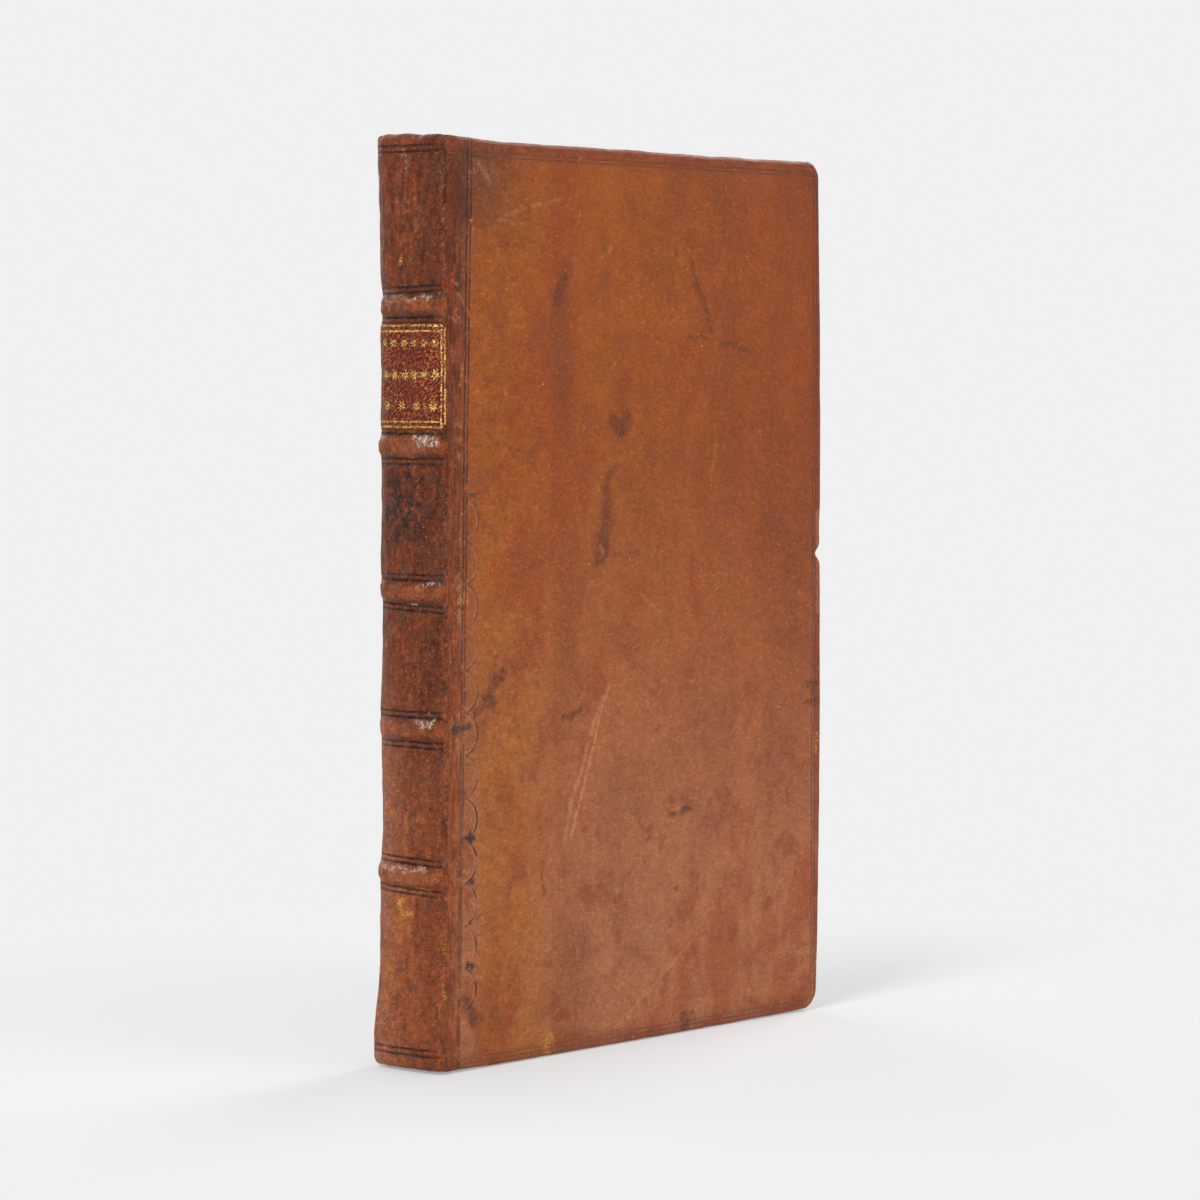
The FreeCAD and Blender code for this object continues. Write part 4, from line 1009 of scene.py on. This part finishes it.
def hinge_paper(side, material):
    """The pastedown's hinge: a narrow fold of paper from the flyleaf, down the shoulder and up the board's back."""
    z = np.linspace(3.4, HEIGHT - 3.4, 60)
    fold = [(0.275, 4.22), (0.275, 3.2), (0.30, 2.2), (0.345, 1.75), (0.375, 1.65), (0.405, 1.75), (0.45, 2.2),
            (0.50, 3.2), (0.56, 3.84)]
    points = [[(JOINT + a, side * (HALF - d), h) for a, d in fold] for h in z]
    return make_object("front_hinge_paper" if side < 0 else "back_hinge_paper",
                       np.array(points).reshape(-1, 3), grid_faces(len(z), len(fold)), material, side < 0)


def paper_sheet(name, side, lengths, heights, depth_at, thick, material):
    """A sheet of paper lying over u and z, at the depth that depth_at gives."""
    grid_u, grid_z = np.meshgrid(lengths, heights)
    depth = depth_at(grid_u, grid_z)
    rough_u = grid_u + 0.12 * ripple(grid_z, grid_u, 61, 30) * (grid_u > lengths[-1] - 1)
    rough_z = grid_z + 0.10 * ripple(grid_u, grid_z, 62, 26) * ((grid_z < heights[0] + 1) | (grid_z > heights[-1] - 1))
    both_faces = [np.stack([JOINT + rough_u, side * (HALF - d), rough_z], -1).reshape(-1, 3)
                  for d in (depth, depth + thick)]
    rows, columns = grid_u.shape
    count = rows * columns
    upper = grid_faces(rows, columns)
    lower = [tuple(reversed(f)) for f in grid_faces(rows, columns, count)]
    rim = list(range(columns)) + [r * columns + columns - 1 for r in range(1, rows)]
    rim += [(rows - 1) * columns + c for c in range(columns - 2, -1, -1)]
    rim += [r * columns for r in range(rows - 2, 0, -1)]
    walls = [(b, a, a + count, b + count) for a, b in zip(rim, rim[1:] + rim[:1])]
    return make_object(name, np.concatenate(both_faces), upper + lower + walls, material, side > 0)


def geometry_tree(name, **inputs):
    """A Geometry Nodes tree with named inputs, by kind. Returns the tree, its input sockets and the output socket."""
    group = bpy.data.node_groups.new(name, "GeometryNodeTree")
    for kind, labels in inputs.items():
        for label in labels:
            group.interface.new_socket(label, in_out="INPUT", socket_type=f"NodeSocket{kind}")
    group.interface.new_socket("Geometry", in_out="OUTPUT", socket_type="NodeSocketGeometry")
    tree = Tree(group)
    return tree, tree.node("NodeGroupInput").outputs, tree.node("NodeGroupOutput").inputs[0]


def grown(name, tree, values):
    """Runs a Geometry Nodes tree and keeps its result as a plain mesh object."""
    thing = bpy.data.objects.new(name, bpy.data.meshes.new(name + "_start"))
    bpy.context.scene.collection.objects.link(thing)
    modifier = thing.modifiers.new("pattern", "NODES")
    modifier.node_group = tree.tree
    sockets = {i.name: i.identifier for i in tree.tree.interface.items_tree if i.in_out == "INPUT"}
    for label, value in values.items():
        modifier[sockets[label]] = value
    result = bpy.data.meshes.new_from_object(thing.evaluated_get(bpy.context.evaluated_depsgraph_get()))
    thing.modifiers.clear()
    thing.data = result
    result.name = name
    if not len(result.polygons):
        raise RuntimeError(f"{name}: the pattern made no faces")
    return thing


def leaves_tree():
    """Leaves side by side, hollowed at the fore-edge, each a little out of line."""
    tree, given, result = geometry_tree(
        "sewn_leaves", Int=("Leaves", "Seed"), Material=("Material",),
        Float=("Thickness", "Length", "Height", "Foot", "Fore-edge", "Hollow"))
    pitch = tree.over(given["Thickness"], given["Leaves"])
    start = tree.point(tree.minus(given["Fore-edge"], tree.product(given["Length"], 0.5)),
                       tree.product(tree.minus(given["Thickness"], pitch), -0.5),
                       tree.plus(given["Foot"], tree.product(given["Height"], 0.5)))
    line = tree.node("GeometryNodeMeshLine", {
        "Count": given["Leaves"], "Start Location": start, "Offset": tree.point(y=pitch)}, mode="OFFSET")
    place = tree.node("GeometryNodeInputPosition").outputs[0]
    y = tree.node("ShaderNodeSeparateXYZ", {0: place}).outputs[1]
    inset = tree.over(y, tree.product(given["Thickness"], 0.5))
    curve = tree.product(tree.minus(tree.product(inset, inset), 1.0), given["Hollow"])
    stray, lift = (tree.node("FunctionNodeRandomValue", {2: low, 3: high, "Seed": seed}, data_type="FLOAT").outputs[1]
                   for low, high, seed in ((-0.00011, 0.00007, given["Seed"]),
                                           (-0.0001, 0.0001, tree.plus(given["Seed"], 3.0))))
    moved = tree.node("GeometryNodeSetPosition", {
        "Geometry": line.outputs[0], "Offset": tree.point(x=tree.plus(curve, stray), z=lift)})
    leaf = tree.node("GeometryNodeMeshCube", {
        "Size": tree.point(x=given["Length"], y=tree.product(pitch, 0.86), z=given["Height"]),
        "Vertices X": 4, "Vertices Y": 2, "Vertices Z": 14})
    placed = tree.node("GeometryNodeInstanceOnPoints", {"Points": moved.outputs[0], "Instance": leaf.outputs[0]})
    joined = tree.node("GeometryNodeRealizeInstances", {"Geometry": placed.outputs[0]})
    waves = tree.node("ShaderNodeTexNoise", {"Vector": place, "Scale": 45.0, "Detail": 2.0}).outputs[1]
    waves = tree.vector("MULTIPLY", tree.vector("SUBTRACT", waves, (0.5, 0.5, 0.5)), (0.0004, 0.0, 0.0003))
    settled = tree.node("GeometryNodeSetPosition", {"Geometry": joined.outputs[0], "Offset": waves})
    coloured = tree.node("GeometryNodeSetMaterial", {"Geometry": settled.outputs[0], "Material": given["Material"]})
    tree.put(result, coloured.outputs[0])
    return tree


def endband_tree():
    """A core bent round the spine, with turns of thread in two colours over it."""
    tree, given, result = geometry_tree(
        "endband_wraps", Int=("Wraps",), Material=("Light thread", "Dark thread"),
        Float=("Place radius", "Core radius", "Thread radius", "Axis", "Height", "Half angle"))
    arc = tree.node("GeometryNodeCurveArc", {
        "Resolution": 96, "Radius": given["Place radius"],
        "Start Angle": tree.minus(math.pi, given["Half angle"]),
        "Sweep Angle": tree.product(given["Half angle"], 2.0)}, mode="RADIUS")
    middle = tree.point(x=given["Axis"], z=given["Height"])
    moved = tree.node("GeometryNodeTransform", {"Geometry": arc.outputs[0], "Translation": middle}).outputs[0]
    ring, thread = (
        tree.node("GeometryNodeCurvePrimitiveCircle", {"Resolution": count, "Radius": given[radius]},
                  mode="RADIUS").outputs[0]
        for count, radius in ((14, "Core radius"), (6, "Thread radius")))
    core = tree.node("GeometryNodeCurveToMesh", {"Curve": moved, "Profile Curve": ring, "Fill Caps": True}).outputs[0]
    core = tree.node("GeometryNodeSetMaterial", {"Geometry": core, "Material": given["Light thread"]}).outputs[0]
    wrap = tree.node("GeometryNodeCurveToMesh", {"Curve": ring, "Profile Curve": thread}).outputs[0]
    points = tree.node("GeometryNodeCurveToPoints", {"Curve": moved, "Count": given["Wraps"]}, mode="COUNT")
    pair = tree.math("FLOOR", tree.over(tree.node("GeometryNodeInputIndex").outputs[0], 2.0))
    parity = tree.math("MODULO", pair, 2.0)
    parts = [core]
    for wanted, name in ((0.0, "Light thread"), (1.0, "Dark thread")):
        chosen = tree.node("FunctionNodeCompare", {0: parity, 1: wanted, 12: 0.1}, data_type="FLOAT", operation="EQUAL")
        placed = tree.node("GeometryNodeInstanceOnPoints", {
            "Points": points.outputs["Points"], "Selection": chosen.outputs[0], "Instance": wrap,
            "Rotation": points.outputs["Rotation"]})
        joined = tree.node("GeometryNodeRealizeInstances", {"Geometry": placed.outputs[0]}).outputs[0]
        parts.append(tree.node("GeometryNodeSetMaterial", {"Geometry": joined, "Material": given[name]}).outputs[0])
    whole = tree.node("GeometryNodeJoinGeometry")
    for part in parts:
        tree.tree.links.new(part, whole.inputs[0])
    smooth = tree.node("GeometryNodeSetShadeSmooth", {"Geometry": whole.outputs[0]})
    tree.put(result, smooth.outputs[0])
    return tree


def gilt_row_tree():
    """A row of small cut ornaments that lies round the spine."""
    tree, given, result = geometry_tree(
        "gilt_row", Int=("Ornaments", "Points"), Material=("Material",),
        Float=("Pitch", "Start", "Size", "Turn", "Round", "Axis", "Height"))
    line = tree.node("GeometryNodeMeshLine", {
        "Count": given["Ornaments"], "Start Location": tree.point(x=given["Start"]),
        "Offset": tree.point(x=given["Pitch"])}, mode="OFFSET")
    star = tree.node("GeometryNodeCurveStar", {
        "Points": given["Points"], "Outer Radius": given["Size"],
        "Inner Radius": tree.product(given["Size"], tree.over(given["Points"], 19.0))})
    cut = tree.node("GeometryNodeFillCurve", {"Curve": star.outputs[0]}, mode="NGONS").outputs[0]
    turned = tree.node("GeometryNodeTransform", {
        "Geometry": cut, "Rotation": tree.point(z=given["Turn"])}).outputs[0]
    placed = tree.node("GeometryNodeInstanceOnPoints", {"Points": line.outputs[0], "Instance": turned})
    joined = tree.node("GeometryNodeRealizeInstances", {"Geometry": placed.outputs[0]})
    parts = tree.node("ShaderNodeSeparateXYZ", {0: tree.node("GeometryNodeInputPosition").outputs[0]}).outputs
    angle = tree.over(parts[0], given["Round"])
    where = tree.point(tree.minus(given["Axis"], tree.product(given["Round"], tree.math("COSINE", angle))),
                       tree.product(given["Round"], tree.math("SINE", angle)), tree.plus(given["Height"], parts[1]))
    bent = tree.node("GeometryNodeSetPosition", {"Geometry": joined.outputs[0], "Position": where})
    coloured = tree.node("GeometryNodeSetMaterial", {"Geometry": bent.outputs[0], "Material": given["Material"]})
    tree.put(result, coloured.outputs[0])
    return tree


def label_cover(material):
    """The label's goatskin, which lies on the spine's leather with a thin, uneven edge."""
    s, z = np.linspace(LABEL_FRONT, LABEL_BACK, 70), np.linspace(LABEL_FOOT, LABEL_HEAD, 80)
    grid_s, grid_z = np.meshgrid(s, z)
    grid_s = grid_s + 0.10 * ripple(grid_z, grid_s * 0, 71, 9)
    grid_z = grid_z + 0.10 * ripple(grid_s, grid_z * 0, 72, 9)
    rim = np.minimum(np.minimum(grid_s - grid_s[:, :1], grid_s[:, -1:] - grid_s),
                     np.minimum(grid_z - grid_z[:1], grid_z[-1:] - grid_z))
    face = on_spine(grid_s, grid_z, -0.15 + 0.30 * ease(rim, -0.05, 0.5)).reshape(-1, 3)
    return make_object("title_label_goatskin", face, grid_faces(*grid_s.shape), material, True)


def label_rules(material):
    """Two gilt lines along each edge of the label, uneven in width."""
    front, back, low, high = LABEL_FRONT, LABEL_BACK, LABEL_FOOT, LABEL_HEAD
    rule = bpy.context.scene.book_label.rule * 500
    upright = [((place, low + foot), (place, high - top)) for place, foot, top in (
        (front + 1.25, 0.9, 0.9), (front + 0.35, 1.4, 1.2), (back - 0.9, 0.9, 0.9), (back - 0.35, 1.4, 1.2))]
    level = [((front + 0.8, h), (back - 0.8, h)) for h in (high - 0.7, high - 1.9, low + 0.7, low + 1.9)]
    along = np.linspace(0, 1, 60)
    points, faces = [], []
    for (s0, z0), (s1, z1) in upright + level:
        line_s, line_z = s0 + (s1 - s0) * along, z0 + (z1 - z0) * along
        wander = 0.06 * ripple(line_s + line_z, line_s * 0, int(abs(s0 * 7 + z0)), 6)
        half = rule * (1 + 0.35 * ripple(line_s, line_z, int(abs(s1 * 5 + z1)), 3))
        if s0 == s1:
            pair = [(line_s + wander - half, line_z), (line_s + wander + half, line_z)]
        else:
            pair = [(line_s, line_z + wander + half), (line_s, line_z + wander - half)]
        faces += grid_faces(2, len(along), len(points) * len(along))
        points += [on_spine(a, b, 0.2) for a, b in pair]
    return make_object("title_label_rules", np.concatenate(points), faces, material)


def label_row(name, tree, ornaments, material):
    """One row of gilt ornaments, laid on the label."""
    height, count, pitch, size, tips, turn = ornaments
    row = grown(name, tree, {
        "Ornaments": count, "Pitch": pitch / 1000, "Start": (-0.5 - pitch * (count - 1) / 2) / 1000,
        "Size": size / 1000, "Points": tips, "Turn": turn, "Round": (SPINE_ROUND + 0.38) / 1000,
        "Axis": AXIS / 1000, "Height": height / 1000, "Material": material})
    x, y, z = np.array([v.co for v in row.data.vertices]).T * 1000
    place = on_spine(np.arctan2(y, AXIS - x) * SPINE_ROUND, z, 0.22)
    row.data.vertices.foreach_set("co", (place / 1000).astype(np.float32).ravel())
    return row


class BOOK_OT_covers(bpy.types.Operator):
    """Calf over both boards, with turn-ins, and the leather of both joints"""
    bl_idname = "book.covers"
    bl_label = "Covers"

    def execute(self, context):
        for side, name, used in ((-1, "front", True), (1, "back", False)):
            material = board_calf(f"calf_{name}_board", used)
            cover = board_cover(side, used, material)
            declare(cover, f"{name}_cover", f"{name}_board_leather")
            declare_hinge(joint_strip(side, material), side, -0.15, 0.15)
        return {"FINISHED"}


class BOOK_OT_spine(bpy.types.Operator):
    """Calf over the spine with its raised bands and caps"""
    bl_idname = "book.spine"
    bl_label = "Spine"

    def execute(self, context):
        cover = spine_cover(spine_calf())
        declare(cover, "book_block", "spine_leather")
        return {"FINISHED"}


class BOOK_OT_label(bpy.types.Operator):
    """Title label with gilt rules and plain ornaments"""
    bl_idname = "book.label"
    bl_label = "Title label"

    def execute(self, context):
        declare(label_cover(goatskin()), "book_block", "title_label")
        gilt = gold_leaf()
        declare(label_rules(gilt), "book_block")
        tree = gilt_row_tree()
        for n, ornaments in enumerate(ORNAMENTS):
            row = label_row(f"title_label_ornament_row_{n + 1}", tree, ornaments, gilt)
            declare(row, "book_block")
        return {"FINISHED"}


class BOOK_OT_leaves(bpy.types.Operator):
    """Text block of separate leaves, its folds at the spine, flyleaves, pastedowns and paper hinges"""
    bl_idname = "book.leaves"
    bl_label = "Leaves and sheets"

    def execute(self, context):
        settings = context.scene.book_paper
        low, high = BLOCK_LOW[2], BLOCK_HIGH[2]
        tree = leaves_tree()
        edges = leaf_edges()
        block = grown("text_block_leaves", tree, {
            "Leaves": settings.leaves, "Thickness": 0.01194, "Length": 0.1256, "Height": (high - low - 0.2) / 1000,
            "Foot": (low + 0.1) / 1000, "Fore-edge": (BLOCK_HIGH[0] - 0.05) / 1000, "Hollow": 0.0014, "Seed": 7,
            "Material": edges})
        declare(block, "book_block", "text_block")
        for side, name in ((-1, "front"), (1, "back")):
            ring = [(-62.12, 5.9), (-62.12, 8.7)]
            ring += [(AXIS - 22.0 * math.cos(a), 22.0 * math.sin(a)) for a in np.linspace(0.405, 0.272, 6)]
            levels = np.linspace(low, high, 30)
            loops = [[(a, side * b, h) for a, b in ring] for h in levels]
            folds = tube(f"{name}_leaf_folds", loops, edges, side < 0)
            declare(folds, "book_block")
        sheet = paper("laid_paper", colour("book_paper", "sheet"), 1.0)
        along = steps((0.275, 2, 0.35), (2, 120, 4), (120, WIDTH - 4, 0.6))
        up = steps((4, 18, 0.6), (18, HEIGHT - 18, 4), (HEIGHT - 18, HEIGHT - 4, 0.6))

        def pasted(u, z):
            sunk = ease(np.minimum(np.minimum(z - 14, HEIGHT - 14 - z), WIDTH - 14 - u), -0.6, 0.8)
            return PASTED - 0.36 * sunk * ease(u, 0.5, 2) + 0.04 * ripple(u, z, 14, 30)

        def flat(u, z):
            return FLYLEAF + 0.12 * ease(u, 3, 0.3) + 0.02 * ripple(u, z, 16, 50)

        for side, name in ((-1, "front"), (1, "back")):
            pastedown = paper_sheet(f"{name}_pastedown_sheet", side, np.maximum(along, 0.56), up,
                                    pasted, 0.2, sheet)
            declare(pastedown, f"{name}_cover", f"{name}_pastedown")
            flyleaf = paper_sheet(f"{name}_flyleaf_sheet", side, steps((0.275, 2, 0.35), (2, BLOCK_HIGH[0] - JOINT, 3)),
                                  steps((low, high, 4)), flat, 0.16, sheet)
            declare(flyleaf, "book_block", f"{name}_flyleaf")
            declare_hinge(hinge_paper(side, sheet), side, 0.30, 0.45)
        return {"FINISHED"}


class BOOK_OT_endbands(bpy.types.Operator):
    """Endbands of wrapped thread in two colours"""
    bl_idname = "book.endbands"
    bl_label = "Endbands"

    def execute(self, context):
        tree = endband_tree()
        light = fibre("silk_cream", tone(196, 172, 128), tone(150, 120, 78), (2, 2, 9))
        dark = fibre("silk_blue", tone(70, 84, 100), tone(38, 46, 60), (2, 2, 9))
        for name in ("head_endband", "tail_endband"):
            low, high = node_box(name)
            core = (high[2] - low[2]) / 2
            place = AXIS - low[0] - core
            band = grown(f"{name}_silk", tree, {
                "Wraps": context.scene.book_paper.wraps, "Place radius": place / 1000,
                "Core radius": (core - 0.14) / 1000, "Thread radius": 0.00016, "Axis": AXIS / 1000,
                "Height": (low[2] + core) / 1000,
                "Half angle": math.asin(high[1] / place) * 0.97, "Light thread": light, "Dark thread": dark})
            declare(band, "book_block", name)
        return {"FINISHED"}


class BOOK_OT_inner_parts(bpy.types.Operator):
    """Finish of the boards and cords that the leather covers"""
    bl_idname = "book.inner_parts"
    bl_label = "Boards and cords"

    def execute(self, context):
        board = fibre("pasteboard", tone(150, 128, 98), tone(112, 92, 68), (0.8, 3, 0.8))
        hemp = fibre("hemp_cord", tone(178, 150, 108), tone(124, 98, 64), (1.2, 1.2, 4))
        for name, thing in frame["nodes"].items():
            if name.endswith("_board") or "cord" in name:
                thing.data.materials.clear()
                thing.data.materials.append(hemp if "cord" in name else board)
        for name in ("front", "back"):
            plain = frame["nodes"][f"{name}_board"].data
            points = np.array([v.co for v in plain.vertices]) * 1000
            points[:, 0] = JOINT + (points[:, 0] - JOINT) * 0.993
            points[:, 2] = HEIGHT / 2 + (points[:, 2] - HEIGHT / 2) * 0.995
            core = make_object(f"{name}_pasteboard", points, [p.vertices for p in plain.polygons], board)
            core.data.polygons.foreach_set("use_smooth", [False] * len(core.data.polygons))
            declare(core, f"{name}_cover", f"{name}_board")
        return {"FINISHED"}


class BOOK_OT_studio(bpy.types.Operator):
    """Pale floor, soft light and the camera"""
    bl_idname = "book.studio"
    bl_label = "Studio"

    def execute(self, context):
        studio = context.scene.book_studio
        grey = (studio.backdrop,) * 3 + (1,)
        world = bpy.data.worlds.new("studio")
        tree = empty_tree(world)
        around = tree.node("ShaderNodeBackground", {"Color": (1, 1, 1, 1), "Strength": studio.ambient})
        behind = tree.node("ShaderNodeBackground", {"Color": grey, "Strength": 1.0})
        both = tree.blend(self.seen_directly(tree), around, behind)
        tree.put(tree.node("ShaderNodeOutputWorld").inputs[0], both.outputs[0])
        context.scene.world = world

        floor_mesh = bpy.data.meshes.new("floor")
        corners = [(12.0 * x, 12.0 * y, 0) for x, y in ((-1, -1), (1, -1), (1, 1), (-1, 1))]
        floor_mesh.from_pydata(corners, [], [(0, 1, 2, 3)])
        floor = bpy.data.objects.new("floor", floor_mesh)
        context.scene.collection.objects.link(floor)
        material = bpy.data.materials.new("pale_floor")
        tree = empty_tree(material)
        place = tree.node("ShaderNodeTexCoord").outputs["Object"]
        away = tree.vector("LENGTH", place)
        lit = tree.node("ShaderNodeBsdfDiffuse", {"Color": grey})
        plain = tree.node("ShaderNodeEmission", {"Color": grey, "Strength": 1.0})
        shaded = tree.node("ShaderNodeEmission", {"Color": grey, "Strength": 0.362})
        soft = tree.node("ShaderNodeBsdfDiffuse", {"Color": (0.503, 0.516, 0.525, 1)})
        near = tree.node("ShaderNodeAddShader", {0: shaded.outputs[0], 1: soft.outputs[0]})
        both = tree.blend(self.seen_directly(tree), lit, tree.blend(tree.fade(away, 0.1, 0.24), near, plain))
        tree.put(tree.node("ShaderNodeOutputMaterial").inputs[0], both.outputs[0])
        floor_mesh.materials.append(material)

        for name, (place, size) in LAMPS.items():
            lamp = bpy.data.lights.new(name, "AREA")
            lamp.shape, lamp.size, lamp.energy = "DISK", size, getattr(studio, name)
            light = bpy.data.objects.new(name, lamp)
            light.location = place
            light.rotation_euler = (Vector((0, 0, 0.1)) - Vector(place)).to_track_quat("-Z", "Y").to_euler()
            context.scene.collection.objects.link(light)

        camera = bpy.data.cameras.new("camera")
        camera.lens, camera.sensor_width, camera.clip_start = studio.lens, 36, 0.01
        eye = bpy.data.objects.new("camera", camera)
        forward = Vector(LOOK).normalized()
        eye.location = Vector(AIM) - forward * AWAY
        turn = forward.to_track_quat("-Z", "Y").to_matrix() @ Matrix.Rotation(math.radians(ROLL), 3, "Z")
        eye.rotation_euler = turn.to_euler()
        context.scene.collection.objects.link(eye)
        context.scene.camera = eye
        context.scene.view_settings.view_transform = "Standard"
        return {"FINISHED"}

    @staticmethod
    def seen_directly(tree):
        """1 for a ray from the camera, or one that a glossy or clear surface sends on."""
        ray = tree.node("ShaderNodeLightPath").outputs
        return tree.most(ray["Is Camera Ray"], ray["Is Glossy Ray"], ray["Is Transmission Ray"])


STEPS = (BOOK_OT_covers, BOOK_OT_spine, BOOK_OT_label, BOOK_OT_leaves, BOOK_OT_endbands, BOOK_OT_inner_parts,
         BOOK_OT_studio)


class BOOK_PT_sidebar(bpy.types.Panel):
    """Settings and steps of the book"""
    bl_idname = "BOOK_PT_sidebar"
    bl_label = "Calf Book"
    bl_space_type = "VIEW_3D"
    bl_region_type = "UI"
    bl_category = "Calf Book"

    def draw(self, context):
        for group, kind in GROUPS.items():
            box = self.layout.box()
            box.label(text=group.replace("_", " "))
            for name in kind.__annotations__:
                box.prop(getattr(context.scene, group), name)
        for step in STEPS:
            self.layout.operator(step.bl_idname)


def register():
    for kind in (*GROUPS.values(), *STEPS, BOOK_PT_sidebar):
        bpy.utils.register_class(kind)
    for name, kind in GROUPS.items():
        setattr(bpy.types.Scene, name, bpy.props.PointerProperty(type=kind))


def unregister():
    for name in GROUPS:
        delattr(bpy.types.Scene, name)
    for kind in (BOOK_PT_sidebar, *reversed(STEPS), *reversed(list(GROUPS.values()))):
        bpy.utils.unregister_class(kind)


def main():
    register()
    for step in STEPS:
        group, name = step.bl_idname.split(".")
        getattr(getattr(bpy.ops, group), name)()


if __name__ == "__main__":
    main()
